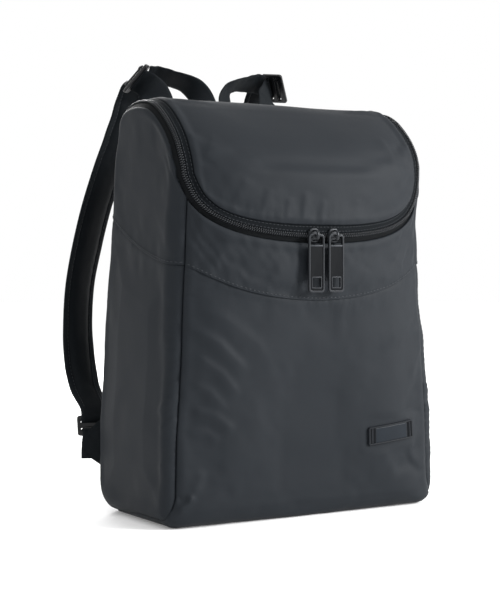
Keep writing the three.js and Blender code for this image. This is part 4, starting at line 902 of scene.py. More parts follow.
def build_side(name, low_pl, high_yz, left_pl, right_pl, seed, upper, high_pl=None, low_yz=None):
    """low, left and right are surface places; the arc seam is given in (y, z)."""
    lo3 = surf(low_pl[:, 0], low_pl[:, 1]) if low_pl is not None else None
    hi3 = surf(high_pl[:, 0], high_pl[:, 1]) if high_pl is not None else None
    le3, ri3 = surf(left_pl[:, 0], left_pl[:, 1]), surf(right_pl[:, 0], right_pl[:, 1])
    arc = high_yz if high_yz is not None else low_yz
    arc3 = np.stack([side_x(arc[:, 0], arc[:, 1]), arc[:, 0], arc[:, 1]], -1)
    k = np.linspace(0, 1, len(arc3))
    e0, e1 = (le3[-1], ri3[-1]) if high_yz is not None else (le3[0], ri3[0])
    arc3 += (e0 - arc3[0]) * np.exp(-(k / 0.06) ** 2)[:, None] + (e1 - arc3[-1]) * np.exp(-((1 - k) / 0.06) ** 2)[:, None]
    if high_yz is not None:
        hi3 = arc3
    else:
        lo3 = arc3
    L = np.linalg.norm(np.diff(lo3, axis=0), axis=1).sum(); H = np.linalg.norm(np.diff(le3, axis=0), axis=1).sum()
    u, v = fractions(L, STEP), fractions(H, STEP)
    G = coons(lo3, hi3, le3, ri3, u, v)[..., 1:]
    P = snap_rim(side_points(G), lo3, hi3, le3, ri3, u, v)
    out = []

    def corners_clear(P):
        # the cloth lies flat and level with the tape where it ends at the zip's back end
        q = P * np.array([float(np.sign(P[..., 0].mean())), 1.0, 1.0])
        return 1 - np.exp(-((q - hi3[-1]) ** 2).sum(-1) / 12.0 ** 2)

    for side, m in (("right", 1), ("left", -1)):
        Q = P * np.array([m, 1, 1.0])
        out.append(sheet_panel(name + "_" + side, Q, side_disp(seed + (50 if m < 0 else 0), upper), SHELL, [name.replace("_cloth", "") + "_" + side],
                               lambda P, m=m: np.broadcast_to([m * 1.0, 0, 0], P.shape), mask=corners_clear if upper else None, sunk=1.0,
                               steer=(hi3[0] * np.array([m, 1, 1.0]), 11.0, np.array([m * 0.97, -0.2, -0.1])) if upper else None,
                               sim=dict(pressure=0.4, slack=0.002, frames=14, gravity=0.2, cap=1.5, step=8.5, seed=seed + m, bend=2.0)))
    return out, (lo3, hi3, le3, ri3)


front_s = np.linspace(S_CORNER_F, S_YOKE_F + GAP / 2, 200)
back_s = np.linspace(S_CORNER_B, S_YOKE_B - GAP / 2, 200)
LOWER, lower_rim = build_side("gusset_lower_cloth", seam_place(ring_base(240)), SIDE_SEAM, seam_place(front_s), seam_place(back_s), 60, False)
zl = np.linspace(D_END, D_ARCH, 160)
top_pl = zip_edge(zl[::-1], 1 + GF, 1)                      # from the arch's front to the back end
front_up = np.vstack([seam_place(np.linspace(S_YOKE_F - GAP / 2, P_SEAM[0], 60)), zip_edge(np.linspace(D_SEAM, D_ARCH, 80), 1 + GF, 1)])
front_up[60:, 1] += GAP / 2
back_up = seam_place(np.linspace(S_YOKE_B + GAP / 2, S_END, 100))
back_up[-8:] = back_up[-8] + (top_pl[-1] - back_up[-8]) * np.linspace(0, 1, 8)[:, None]
UPPER, upper_rim = build_side("gusset_upper_cloth", None, None, front_up, back_up, 70, True, high_pl=top_pl, low_yz=SIDE_SEAM - [0, ARC_LAP])


# ------------------------------------------------------------------ padded back
def back_part():
    """Two faces of a padded panel with sewn channels; the pad swells between its pinned seams."""
    s0, s1 = S_UNDER_B + GAP, S_END - GAP
    H, W = s1 - s0, 280
    u, v = fractions(W, 2.4, ends=(0.4, 1.0, 1.8, 2.8, 4.0)), fractions(H, 2.4, ends=(0.4, 1.0, 1.8, 2.8, 4.0))
    s = s0 + H * v
    w = seam_x(s) - np.where(at(s)["z"] < 40, GAP * 2, GAP / 2)
    G = np.stack([np.broadcast_to(s[:, None], (len(v), len(u))), -w[:, None] + 2 * w[:, None] * u[None]], -1)
    P = surf(G[..., 0], G[..., 1])
    N = grid_normals(P)
    if N[..., 1].mean() < 0:
        N = -N
    dl, dr, db, dt = edge_dists(P)
    x, z = P[..., 0], P[..., 2]
    m = np.minimum(np.minimum(dl, dr), np.minimum(db, dt))
    # sewn channels: a border, an air channel down the spine and two cross lines
    lines = np.minimum.reduce([np.abs(m - 15.0), np.where(m > 15, np.abs(np.abs(x) - 24), 99), np.where((m > 15) & (np.abs(x) > 24), np.abs(z - 128 + 0.08 * np.abs(x)), 99),
                               np.where((m > 15) & (np.abs(x) > 24), np.abs(z - 232 + 0.08 * np.abs(x)), 99)])
    spine = (np.abs(x) < 24) & (m > 15)
    D = simulate(P, pressure=1.1, slack=0.02, frames=18, gravity=0.0, cap=4.5, step=5.0, seed=8, bend=0.8,
                 extra_pin=lambda Q: _back_pin(Q))
    swell = np.where(m > 15, 2.6 * (1 - np.exp(-lines / 9)), 0.9 * np.sin(np.clip(m / 15, 0, 1) * math.pi))
    d = swell * np.where(spine, 0.15, 1) - 1.6 * np.exp(-(lines / 2.0) ** 2) + round_edge(m, 1.4) - 1.0
    d += pucker(lines, x + z, 81, pitch=7, reach=7, amp=0.35) * np.where(spine, 0.3, 1) + noise(x / 40, z / 40, 82) * 0.5 * np.clip(m / 30, 0, 1)
    V = P + N * d[..., None] + D
    R, C, _ = V.shape
    inner = P - N * BACK_PAD
    verts = np.vstack([V.reshape(-1, 3), inner.reshape(-1, 3)])
    o = R * C
    f1 = grid_faces(R, C)
    a, b, c = (V.reshape(-1, 3)[f1[:, i]] for i in (0, 1, 3))
    flip = (np.cross(b - a, c - a) * N.reshape(-1, 3)[f1[:, 0]]).sum() < 0
    ring_i = np.concatenate([np.arange(C), (np.arange(1, R) * C + C - 1), ((R - 1) * C + np.arange(C - 2, -1, -1)), (np.arange(R - 2, 0, -1) * C)])
    nxt = np.roll(ring_i, -1)
    rim = np.stack([ring_i, ring_i + o, nxt + o, nxt], -1)
    faces = np.vstack([f1, f1[:, ::-1] + o, rim])
    if flip:
        faces = faces[:, ::-1]
    uv = np.stack([dl, db], -1).reshape(-1, 2)
    border = (m < 14.2).reshape(-1)
    fm = np.concatenate([border[f1[:, 0]], border[f1[:, 0]], np.ones(len(rim), bool)]).astype(int)
    ob = make("back_pad", verts, faces, [BACKM, LINING], replaces=["back_panel"], uv=np.vstack([uv, uv]), face_mat=fm)
    # stitches along the border and the channels
    rows = []

    def run(path):
        q = np.array(path, float)
        d = np.concatenate([[0], np.cumsum(np.hypot(*np.diff(q, axis=0).T))])
        n = max(2, int(d[-1] / 3))
        t = np.linspace(0, d[-1], n)
        xs, ss = np.interp(t, d, q[:, 0]), np.interp(t, d, q[:, 1])
        # nearest grid vertex of the swollen pad
        ri = np.interp(ss, s, np.arange(R)); wl = np.interp(ss, s, w)
        ci = np.interp((xs + wl) / (2 * wl), u, np.arange(C))
        r0, c0 = np.minimum(ri.astype(int), R - 2), np.minimum(ci.astype(int), C - 2)
        a, b = (ri - r0)[:, None], (ci - c0)[:, None]
        p = (1 - a) * (1 - b) * V[r0, c0] + a * (1 - b) * V[r0 + 1, c0] + (1 - a) * b * V[r0, c0 + 1] + a * b * V[r0 + 1, c0 + 1]
        rows.append((p, N[r0, c0]))
    zz = lambda z: float(s_back(z))
    lo, hi = s[0] + 15, s[-1] - 15
    wx = lambda ss: float(np.interp(ss, s, w)) - 15
    left = [(-wx(k), k) for k in np.linspace(lo, hi, 40)]
    run(left); run([(-a, b) for a, b in left]); run([(-wx(lo), lo), (wx(lo), lo)]); run([(-wx(hi), hi), (wx(hi), hi)])
    for m2 in (-1, 1):
        run([(m2 * 24, lo + 1), (m2 * 24, hi - 1)])
        for zc in (128, 232):
            run([(m2 * 24, zz(zc - 0.08 * 24)), (m2 * wx(zz(zc)), zz(zc - 0.08 * wx(zz(zc))))])
    add_stitches("back_stitches", rows)
    return V, N, s, w, u


def _back_pin(Q):
    x, z = Q[..., 0], Q[..., 2]
    w = half_width(z) - 8
    m = np.minimum(w - np.abs(x), np.minimum(z - 12, 352 - z))
    near = np.minimum.reduce([np.abs(m - 15.0), np.where(m > 15, np.abs(np.abs(x) - 24), 99), np.where((m > 15) & (np.abs(x) > 24), np.abs(z - 128 + 0.08 * np.abs(x)), 99),
                              np.where((m > 15) & (np.abs(x) > 24), np.abs(z - 232 + 0.08 * np.abs(x)), 99)])
    return np.where((near < 2.8) | (m < 14) | ((np.abs(x) < 22) & (m > 15)), 1.0, 0.0)


BACK = back_part()

# ------------------------------------------------------------------ zip
ZD = np.linspace(0, D_END, 420)


def zip_line(f, rise, d=ZD):
    """The line at f along the whole zip, from the left end over the front to the right end, and its normals and across directions."""
    pl = np.vstack([zip_edge(d[::-1], f, -1), zip_edge(d[1:], f, 1)])
    pa = np.vstack([zip_edge(d[::-1], f - 0.03, -1), zip_edge(d[1:], f - 0.03, 1)])
    pb = np.vstack([zip_edge(d[::-1], f + 0.03, -1), zip_edge(d[1:], f + 0.03, 1)])
    P, A, B = surf(pl[:, 0], pl[:, 1]), surf(pa[:, 0], pa[:, 1]), surf(pb[:, 0], pb[:, 1])
    across = B - A
    along = np.gradient(P, axis=0)
    n = np.cross(along, across)
    n /= np.linalg.norm(n, axis=1, keepdims=True)
    if (n * outward(P)).sum() < 0:
        n = -n
    for _ in range(3):
        n[1:-1] = 0.25 * n[:-2] + 0.5 * n[1:-1] + 0.25 * n[2:]
    n /= np.linalg.norm(n, axis=1, keepdims=True)
    return P + n * rise, n, across / np.linalg.norm(across, axis=1, keepdims=True), along / np.linalg.norm(along, axis=1, keepdims=True)


def zip_strip(name, profile, mat, replaces):
    """A strip whose section is given as (f, height) from the lid side to the body side, with a flat underside."""
    cols = [zip_line(f, h)[0] for f, h in profile]
    P = np.stack(cols, 1)
    n = zip_line(profile[len(profile) // 2][0], 0)[1]
    under = P - n[:, None] * 1.3
    V = np.concatenate([P, under[:, ::-1]], 1)
    R, C, _ = V.shape
    F = grid_faces(R, C, wrap=True)
    caps = [tuple(range(C)), tuple((R - 1) * C + k for k in range(C))[::-1]]
    a, b, c = V[0, 0], V[0, 1], V[1, 0]
    flip = (np.cross(b - a, c - a) @ n[0]) < 0
    F = F[:, ::-1] if flip else F
    if flip:
        caps = [k[::-1] for k in caps]
    dd = np.concatenate([[0], np.cumsum(np.linalg.norm(np.diff(P[:, 0], axis=0), axis=1))])
    fr = np.array([p[0] for p in profile]) * 15.5
    uv = np.stack(np.broadcast_arrays(dd[:, None], np.concatenate([fr, fr[::-1]])[None]), -1).reshape(-1, 2)
    return make(name, V.reshape(-1, 3), [tuple(k) for k in F] + caps, mat, replaces=replaces, uv=uv)


zip_strip("zip_tape_upper", [(-0.03, -1.1), (0.0, -0.75), (0.04, -0.65), (0.12, -0.6), (0.22, -0.55), (0.30, -0.5), (0.345, -0.25), (0.38, -0.05), (0.41, 0.0), (0.43, -0.35)], TAPEM, ["zip_tape_lid"])
# the body-side tape takes the painted-shade tape colour
zip_strip("zip_tape_lower", [(0.72, -0.5), (0.75, -0.25), (0.79, -0.5), (0.85, -1.0), (0.93, -1.35), (1.0, -1.5), (1.03, -1.6)], TAPE_PAINTED_SHADE, ["zip_tape_body"])


def zip_teeth():
    """Two rows of coil teeth that meet in the middle of the chain, on their carrier cords."""
    # the chain's core takes the painted-shade tape colour, for the shade between the teeth
    base = zip_strip("zip_core", [(0.43, -0.5), (0.46, -0.15), (0.52, 0.0), (0.575, 0.1), (0.63, 0.0), (0.69, -0.15), (0.72, -0.5)], TAPE_PAINTED_SHADE, ["zip_chain"])
    mid, n, ac, al = zip_line(0.575, 0.0)
    d = np.concatenate([[0], np.cumsum(np.linalg.norm(np.diff(mid, axis=0), axis=1))])
    pitch = 2.15
    k = np.arange(0.8, d[-1] - 0.8, pitch)
    out_v, out_f, n0 = [], [], 0
    # one tooth: a bent pill, its head at the middle
    sec = [(-0.35, 0.0, 0.36), (0.05, 0.45, 0.55), (0.7, 0.80, 0.62), (1.4, 0.78, 0.60), (1.95, 0.40, 0.52), (2.25, -0.15, 0.40)]
    ring = np.array([(math.cos(a), math.sin(a)) for a in np.arange(6) * math.pi / 3])
    for row, off in ((-1, 0.0), (1, 0.5)):
        kk = k + off * pitch
        kk = kk[kk < d[-1] - 0.5]
        g = lambda A: np.stack([np.interp(kk, d, A[:, j]) for j in range(3)], -1)
        c, nn, aa, tt = g(mid), g(n), g(ac), g(al)
        for M in (nn, aa, tt):
            M /= np.linalg.norm(M, axis=1, keepdims=True)
        rings = []
        for (x, h, r) in sec:
            p = c + aa * (row * x) + nn * (0.35 + h)
            rings.append(p[:, None] + tt[:, None] * ring[None, :, :1] * r * 0.9 + nn[:, None] * ring[None, :, 1:] * r * 0.8)
        V = np.stack(rings, 1)                               # teeth, sections, ring, xyz
        T, S, K, _ = V.shape
        idx = np.arange(T * S * K).reshape(T, S, K)
        a = idx[:, :-1]; b = idx[:, 1:]
        F = np.stack([a, np.roll(a, -1, 2), np.roll(b, -1, 2), b], -1).reshape(-1, 4)
        if row < 0:
            F = F[:, ::-1]
        cap = np.concatenate([np.stack([idx[:, 0, [0, 3, 2, 1]], idx[:, 0, [0, 5, 4, 3]]], 1).reshape(-1, 4), np.stack([idx[:, -1, [0, 1, 2, 3]], idx[:, -1, [0, 3, 4, 5]]], 1).reshape(-1, 4)])
        if row < 0:
            cap = cap[:, ::-1]
        out_v.append(V.reshape(-1, 3)); out_f.append(np.vstack([F, cap]) + n0); n0 += T * S * K
    t = make("zip_teeth", np.vstack(out_v), np.vstack(out_f), TEETH)
    return base, t


zip_teeth()
rows = []
for f, h in ((0.07, -0.58), (0.33, -0.3)):
    p, n, _, _ = zip_line(f, h)
    rows.append((p, n))
add_stitches("zip_stitches", rows, slot="tape")

# stitching along the arc seam, on the lower piece, and on the sides
def seam_stitches():
    rows = []
    for V, N, k in [(YOKE[1], YOKE[2], 3)] + [(q[1], q[2], 2) for q in UPPER]:
        d = edge_dists(V)[k]
        p, n = [], []
        for c in range(V.shape[1]):
            order = np.argsort(d[:, c])
            p.append([np.interp(2.4, d[order, c], V[order, c, j]) for j in range(3)])
            n.append([np.interp(2.4, d[order, c], N[order, c, j]) for j in range(3)])
        rows.append((np.array(p)[3:-3], np.array(n)[3:-3]))
    add_stitches("seam_stitches", rows, slot="shell", length=2.7, gap=1.5, wide=0.8, lift=0.16)


seam_stitches()

# ------------------------------------------------------------------ hard parts by outline
def chamfer_plate(outline, holes, thick, bevel=0.5, inset=None, sub=3):
    """A flat plate from an outline in (a, b) with holes, its rims rounded; returns an object-ready mesh by bevelled extrusion."""
    cu = bpy.data.curves.new("plate", "CURVE")
    cu.dimensions = "2D"
    cu.fill_mode = "BOTH"
    for loop in [outline] + holes:
        sp = cu.splines.new("POLY")
        sp.points.add(len(loop) - 1)
        for q, (a, b) in zip(sp.points, loop):
            q.co = (a, b, 0, 1)
        sp.use_cyclic_u = True
    cu.extrude = thick / 2 - bevel
    cu.bevel_depth = bevel
    cu.bevel_resolution = sub
    cu.offset = -bevel
    ob = bpy.data.objects.new("plate", cu)
    scene.collection.objects.link(ob)
    me = bpy.data.meshes.new_from_object(ob.evaluated_get(bpy.context.evaluated_depsgraph_get()))
    v = np.zeros(len(me.vertices) * 3); me.vertices.foreach_get("co", v)
    f = [tuple(p.vertices) for p in me.polygons]
    bpy.data.objects.remove(ob); bpy.data.curves.remove(cu); bpy.data.meshes.remove(me)
    v = v.reshape(-1, 3)
    # merge the doubled rims
    key = np.round(v, 4)
    _, first, inv = np.unique(key, axis=0, return_index=True, return_inverse=True)
    inv = inv.ravel()
    f2 = []
    for p in f:
        q = []
        for i in p:
            if not q or inv[i] != q[-1]:
                q.append(int(inv[i]))
        if len(q) > 1 and q[0] == q[-1]:
            q.pop()
        if len(set(q)) > 2:
            f2.append(tuple(q))
    return v[first], f2


def rrect(w, h, r, n=5, cx=0.0, cy=0.0):
    pts = []
    for sx, sy, a0 in ((1, 1, 0), (-1, 1, 90), (-1, -1, 180), (1, -1, 270)):
        for k in range(n + 1):
            a = math.radians(a0 + 90 * k / n)
            pts.append((cx + sx * (w / 2 - r) + r * math.cos(a), cy + sy * (h / 2 - r) + r * math.sin(a)))
    return pts


def placed(v, c, a, b, n):
    """Local (a, b, n) coordinates in mm to the bag's frame."""
    M = np.stack([a, b, n])
    return np.asarray(v) @ M + np.asarray(c)


def box_mesh(w, h, t, bevel=0.3):
    return chamfer_plate(rrect(w, h, bevel + 0.05, 2), [], t, bevel, sub=2)


def join(parts):
    V, F, n = [], [], 0
    for v, f in parts:
        V.append(np.asarray(v)); F += [tuple(int(i) + n for i in p) for p in f]; n += len(v)
    return np.vstack(V), F


def flat_shade(o, angle=35):
    me = o.data
    me.polygons.foreach_set("use_smooth", np.ones(len(me.polygons), bool))
    bpy.context.view_layer.objects.active = o
    for k in bpy.context.selected_objects:
        k.select_set(False)
    o.select_set(True)
    bpy.ops.object.shade_smooth_by_angle(angle=math.radians(angle))
    return o


# ------------------------------------------------------------------ sliders and pulls
PULL_X = [-11.0, 10.1]
PL, PW, PT, AXLE = 52.0, 16.6, 2.4, 6.0
sl_mid = S_AX = (s_front(263.6) * (1 - 0.575) + s_front(248.8) * 0.575)
for kx, label in zip(PULL_X, ("left", "right")):
    p = surf(np.array([float(sl_mid)]), np.array([kx]))[0]
    e = 0.6
    u_ = surf(np.array([sl_mid + e]), np.array([kx]))[0] - surf(np.array([sl_mid - e]), np.array([kx]))[0]
    v_ = surf(np.array([sl_mid]), np.array([kx + e]))[0] - surf(np.array([sl_mid]), np.array([kx - e]))[0]
    n = np.cross(u_, v_); n /= np.linalg.norm(n)
    if n[1] > 0:
        n = -n
    turn = math.atan2(n[0], -n[1])
    ax = np.array([math.cos(turn), math.sin(turn), 0.0]); out = np.array([math.sin(turn), -math.cos(turn), 0.0]); up = np.array([0, 0, 1.0])
    # slider: shaped shield, side flanges and the arched bridge
    shield = [(-4.9, -3.0), (-4.4, -4.6), (-3.0, -6.0), (-1.6, -6.3), (1.6, -6.3), (3.0, -6.0), (4.4, -4.6), (4.9, -3.0), (4.9, 3.0), (4.4, 4.6), (3.0, 6.0), (1.6, 6.3), (-1.6, 6.3), (-3.0, 6.0), (-4.4, 4.6), (-4.9, 3.0)][::-1]
    parts = []
    v, f = chamfer_plate(shield, [], 1.5, 0.45)
    parts.append((placed(v, p + out * 2.15, ax, up, out), f))
    v, f = chamfer_plate([(a * 1.02, b * 1.02) for a, b in shield], [], 0.9, 0.3)
    parts.append((placed(v, p + out * -0.9, ax, up, out), f))
    for m2 in (-1, 1):
        v, f = box_mesh(1.1, 7.0, 3.0, 0.35)
        parts.append((placed(v, p + out * 1.0 + ax * (m2 * 4.4), ax, up, out), f))
    # bridge: a rounded bar bent over the eye
    prof = [(2.6, -4.2), (5.4, -4.35), (7.6, -3.8), (8.9, -2.4), (9.3, 0.0), (8.9, 2.4), (7.6, 3.8), (5.4, 4.35), (2.6, 4.2)]
    line = resample(np.array(prof), n=25)
    tl = np.gradient(line, axis=0); tl /= np.linalg.norm(tl, axis=1, keepdims=True)
    sect = [(math.cos(a) * 1.55, math.sin(a) * 0.72) for a in np.arange(10) * 2 * math.pi / 10]
    bv = []
    for (o_, z_), (to, tz) in zip(line, tl):
        for (sa, sb) in sect:
            bv.append(p + out * (o_ + sb * tz) + up * (z_ - sb * to) + ax * sa)
    bf = [(r * 10 + k, r * 10 + (k + 1) % 10, (r + 1) * 10 + (k + 1) % 10, (r + 1) * 10 + k) for r in range(24) for k in range(10)]
    bf += [tuple(range(9, -1, -1)), tuple(240 + k for k in range(10))]
    parts.append((np.array(bv), bf))
    V, F = join(parts)
    sl = make("zip_slider_" + label, V, F, METAL, replaces=["slider_" + label])
    flat_shade(sl, 40)
    # pull: raised rim, open eye, sunk grip and a small window
    c = p + out * AXLE
    top, low = 1.0, 1.0 - PL
    cy = (top + low) / 2
    eye = rrect(PW - 4.8, 7.4, 1.2, 4, 0, -1.0 - 3.7)
    win = rrect(8.6, 8.6, 0.5, 3, 0, low + 4.6 + 4.3)
    parts, mats = [], []
    frame_v, frame_f = chamfer_plate(rrect(PW, PL, 3.2, 6, 0, cy), [rrect(PW - 3.6, PL - 3.0 - 0.8, 1.9, 5, 0, cy + 0.0)], PT, 0.55)
    inner_v, inner_f = chamfer_plate(rrect(PW - 3.0, PL - 2.6, 2.2, 5, 0, cy), [eye, win], PT - 1.1, 0.15)
    # a step below the eye and a rim round the window
    bar_v, bar_f = box_mesh(PW - 3.4, 1.5, PT - 0.35, 0.3)
    bar_v = bar_v + np.array([0, -9.3, 0])
    wr_v, wr_f = chamfer_plate(rrect(10.6, 10.6, 1.1, 3, 0, low + 8.9), [rrect(8.6, 8.6, 0.5, 3, 0, low + 8.9)], PT - 0.45, 0.2)
    ey_v, ey_f = chamfer_plate(rrect(PW - 3.0, 2.0, 0.8, 3, 0, 0.0), [], PT, 0.5)
    V1, F1 = join([(placed(v, c, ax, up, out), f) for v, f in ((frame_v, frame_f), (bar_v, bar_f), (wr_v, wr_f), (ey_v, ey_f))])
    V2 = placed(inner_v, c, ax, up, out)
    V = np.vstack([V1, V2]); F = F1 + [tuple(i + len(V1) for i in q) for q in inner_f]
    pl = make("zip_pull_" + label, V, F, [METAL, INLAY], body="pull_" + label, replaces=["pull_" + label], face_mat=[0] * len(F1) + [1] * len(inner_f))
    flat_shade(pl, 40)

# ------------------------------------------------------------------ label plate
LX, LZ, LW, LH, LT2, TILT = 86.4, 71.6, 54.0, 17.6, 2.0, math.radians(4.4)


def on_label(lx, lz, rise):
    """A place on the label: lx, lz in mm from its middle, rise above the cloth."""
    s0 = float(s_front(LZ))
    e = 0.6
    a = surf(np.array([s0]), np.array([LX + e]))[0] - surf(np.array([s0]), np.array([LX - e]))[0]
    lean = abs(a[0]) / np.linalg.norm(a)
    dx = (lx * math.cos(TILT) - lz * math.sin(TILT)) * lean
    dz = lx * math.sin(TILT) + lz * math.cos(TILT)
    S, X = s0 - dz, LX + dx
    p = surf(S, X)
    du = surf(S + e, X) - surf(S - e, X); dv = surf(S, X + e) - surf(S, X - e)
    n = np.cross(du, dv); n /= np.linalg.norm(n, axis=-1, keepdims=True)
    n = np.where(n[..., 1:2] > 0, -n, n)
    return p + n * rise[..., None] if np.ndim(rise) else p + n * rise


def label_part():
    nx, nz = 150, 60
    ex = LW / 2 * np.concatenate([[-1.0], np.linspace(-0.995, 0.995, nx - 2), [1.0]])
    ez = LH / 2 * np.concatenate([[-1.0], np.linspace(-0.985, 0.985, nz - 2), [1.0]])
    A, B = np.meshgrid(ex, ez)
    r = 2.2
    # rounded corners: pull grid corners in
    qx, qz = np.maximum(np.abs(A) - (LW / 2 - r), 0) / r, np.maximum(np.abs(B) - (LH / 2 - r), 0) / r
    m = np.maximum(qx, qz); h = np.hypot(qx, qz)
    k = np.where(h > 0, m / np.maximum(h, 1e-9), 1.0)
    both = (qx > 0) & (qz > 0)
    A2 = np.where(both, np.sign(A) * (LW / 2 - r + qx * r * k), A); B2 = np.where(both, np.sign(B) * (LH / 2 - r + qz * r * k), B)
    d = np.minimum(LW / 2 - np.abs(A2), LH / 2 - np.abs(B2))
    corner = np.hypot(np.maximum(np.abs(A2) - (LW / 2 - r), 0), np.maximum(np.abs(B2) - (LH / 2 - r), 0))
    d = np.minimum(d, np.where(corner > 0, r - corner, d))
    step = lambda a, b, t: ease((t - a) / (b - a))
    rise = 0.5 + 1.7 * step(0, 0.5, d) - 0.75 * step(1.5, 1.9, d)
    inner = (np.abs(A2) < LW / 2 - 8.2) & (np.abs(B2) < LH / 2 - 1.9)
    # bars at both ends: a slot and a raised bar
    ax_ = LW / 2 - np.abs(A2)
    live = step(1.8, 2.2, LH / 2 - np.abs(B2))
    rise += live * (0.75 * step(3.2, 3.6, ax_) * (1 - step(4.4, 4.8, ax_)) - 0.7 * step(5.2, 5.5, ax_) * (1 - step(7.0, 7.3, ax_)) + 0.35 * step(7.6, 8.0, ax_))
    P = on_label(A2, B2, rise)
    U = on_label(A2, B2, np.full(A2.shape, 0.35))
    R, C, _ = P.shape
    f = grid_faces(R, C)
    verts = np.vstack([P.reshape(-1, 3), U.reshape(-1, 3)])
    ring_i = np.concatenate([np.arange(C), (np.arange(1, R) * C + C - 1), ((R - 1) * C + np.arange(C - 2, -1, -1)), (np.arange(R - 2, 0, -1) * C)])
    nxt = np.roll(ring_i, -1); o = R * C
    rim = np.stack([ring_i, ring_i + o, nxt + o, nxt], -1)
    faces = np.vstack([f, f[:, ::-1] + o, rim])
    a, b, c = (P.reshape(-1, 3)[f[:, i]] for i in (0, 1, 3))
    if np.cross(b - a, c - a)[:, 1].sum() > 0:
        faces = faces[:, ::-1]
    fm = np.concatenate([inner.reshape(-1)[f[:, 0]], np.zeros(len(f), bool), np.zeros(len(rim), bool)]).astype(int)
    lb = make("label", verts, faces, [LABELM, LABELI], replaces=["label_plate"], face_mat=fm, uv=np.vstack([np.stack([A2, B2], -1).reshape(-1, 2)] * 2))
    flat_shade(lb, 50)


label_part()

# ------------------------------------------------------------------ straps
TOP_SLIDER = dict(c=(-80.6, 112.4, 412.3), a=(-0.5, 0.43, -0.75), b=(0.577, 0.806, 0.078), along=35, across=23, thick=2.6, slot=5.2, bar=3.0)
LOW_SLIDER = dict(c=(-136, 92.5, 75), a=(0.93, -0.36, 0), b=(0.229, 0.59, 0.774), along=33, across=22, thick=2.6, slot=5.0, bar=3.0)
# rows: (x, y, z, wx, wy, wz, width, thick) or (v, h, width, thick) inside a slider
TOP_WEB = [
    (-14.8, 77.3, 292, -1, 0, 0, 24.4, 1.6), (-14.7, 77.6, 320, -1, 0.06, 0, 24.4, 1.6), (-14.0, 83.0, 350, -0.97, 0.22, 0, 24.4, 1.6), (-12.6, 90.8, 374, -0.93, 0.36, 0.02, 23.4, 1.6),
    (-12.2, 96.8, 391, -0.9, 0.43, 0.04, 22.6, 1.6), (-17.6, 102.0, 401.7, -0.8, 0.6, 0.05, 23.4, 1.6), (-26.9, 106.9, 409.5, -0.62, 0.78, -0.05, 24.4, 1.6),
    (-38.2, 111.6, 413.8, -0.45, 0.85, -0.3, 24.4, 1.6), (-50.0, 114.4, 415.9, -0.45, 0.74, -0.5, 24.4, 1.6), (-60.1, 115.8, 416.4, -0.48, 0.58, -0.66, 24.4, 1.6), (-67.0, 115.1, 415.7, -0.5, 0.46, -0.73, 24.4, 1.6)]
STRAP = [
    (-4.1, 1.5, 25, 1.8), (-4.1, -0.6, 25, 1.8), (-3.2, -2.9, 25, 1.8), (-0.6, -4.2, 25, 2), (5, -4.6, 25.4, 2.2), (13, -4.6, 26, 2.4),
    (-74.5, 133.5, 409, 0.6, -0.4, 0.7, 25.6, 2.6), (-74, 141, 396, 0.64, -0.3, 0.7, 27, 3.2), (-77, 146, 377, 0.85, -0.05, 0.5, 30, 4.6), (-82.5, 150, 352, 0.97, 0.14, 0.2, 36, 6),
    (-92, 153.5, 322, 0.95, 0.3, 0.05, 41, 6), (-102.5, 156.5, 288, 0.92, 0.38, 0, 43, 6), (-112, 158, 250, 0.91, 0.41, 0, 44, 6), (-120.5, 157.5, 210, 0.9, 0.42, 0, 43, 6),
    (-125.5, 152.5, 170, 0.92, 0.38, 0, 41, 6), (-128.5, 142.0, 136, 0.97, 0.22, 0, 37, 6), (-130.8, 126.0, 110, 0.99, -0.1, 0, 31, 4.6),
    (18, 3.6, 26, 2.6), (11, 3.5, 25, 2.0), (6.2, 2.9, 25, 1.8), (4.05, 0.4, 25, 1.8), (4.05, -1.6, 25, 1.8)]
RISER = [
    (4.05, -1.5, 25, 1.8), (4.05, 0.6, 25, 1.8), (4.9, 3.2, 25, 1.8), (-70.6, 109.3, 406.1, -0.66, 0.36, -0.64, 27, 1.8), (-66.6, 103.2, 398.5, -0.86, 0.25, -0.42, 31, 1.8),
    (-66.2, 95.4, 386.3, -0.97, 0.12, -0.18, 35, 1.8), (-67.0, 85.9, 370, -1, 0, -0.05, 37, 1.8), (-67.5, 77.5, 351, -1, -0.02, 0, 37, 1.8), (-67.5, 72.4, 332, -1, -0.03, 0, 37, 1.8), (-67.5, 73.0, 306, -1, -0.04, 0, 37, 1.8)]
LOWER_WEB = [
    (-4.05, -1.5, 25, 1.6), (-4.05, 0.5, 25, 1.6), (-6.4, 3.0, 25, 1.6), (-139.6, 84.4, 69.0, 0.92, -0.4, 0, 23, 1.6), (-143.6, 79.6, 63.0, 0.88, -0.48, 0, 21, 1.6),
    (-146.4, 76.4, 55, 0.85, -0.53, 0, 20, 1.6), (-146.8, 75.7, 46, 0.85, -0.53, 0, 20, 1.6)]


def nrm(v):
    v = np.asarray(v, float)
    return v / np.linalg.norm(v)


def slider_frame(q, m):
    a = nrm(np.array(q["a"]) * [m, 1, 1])
    b = np.array(q["b"]) * [m, 1, 1]
    b = nrm(b - a * (b @ a))
    return np.array(q["c"]) * [m, 1, 1], a, b, np.cross(a, b) * m


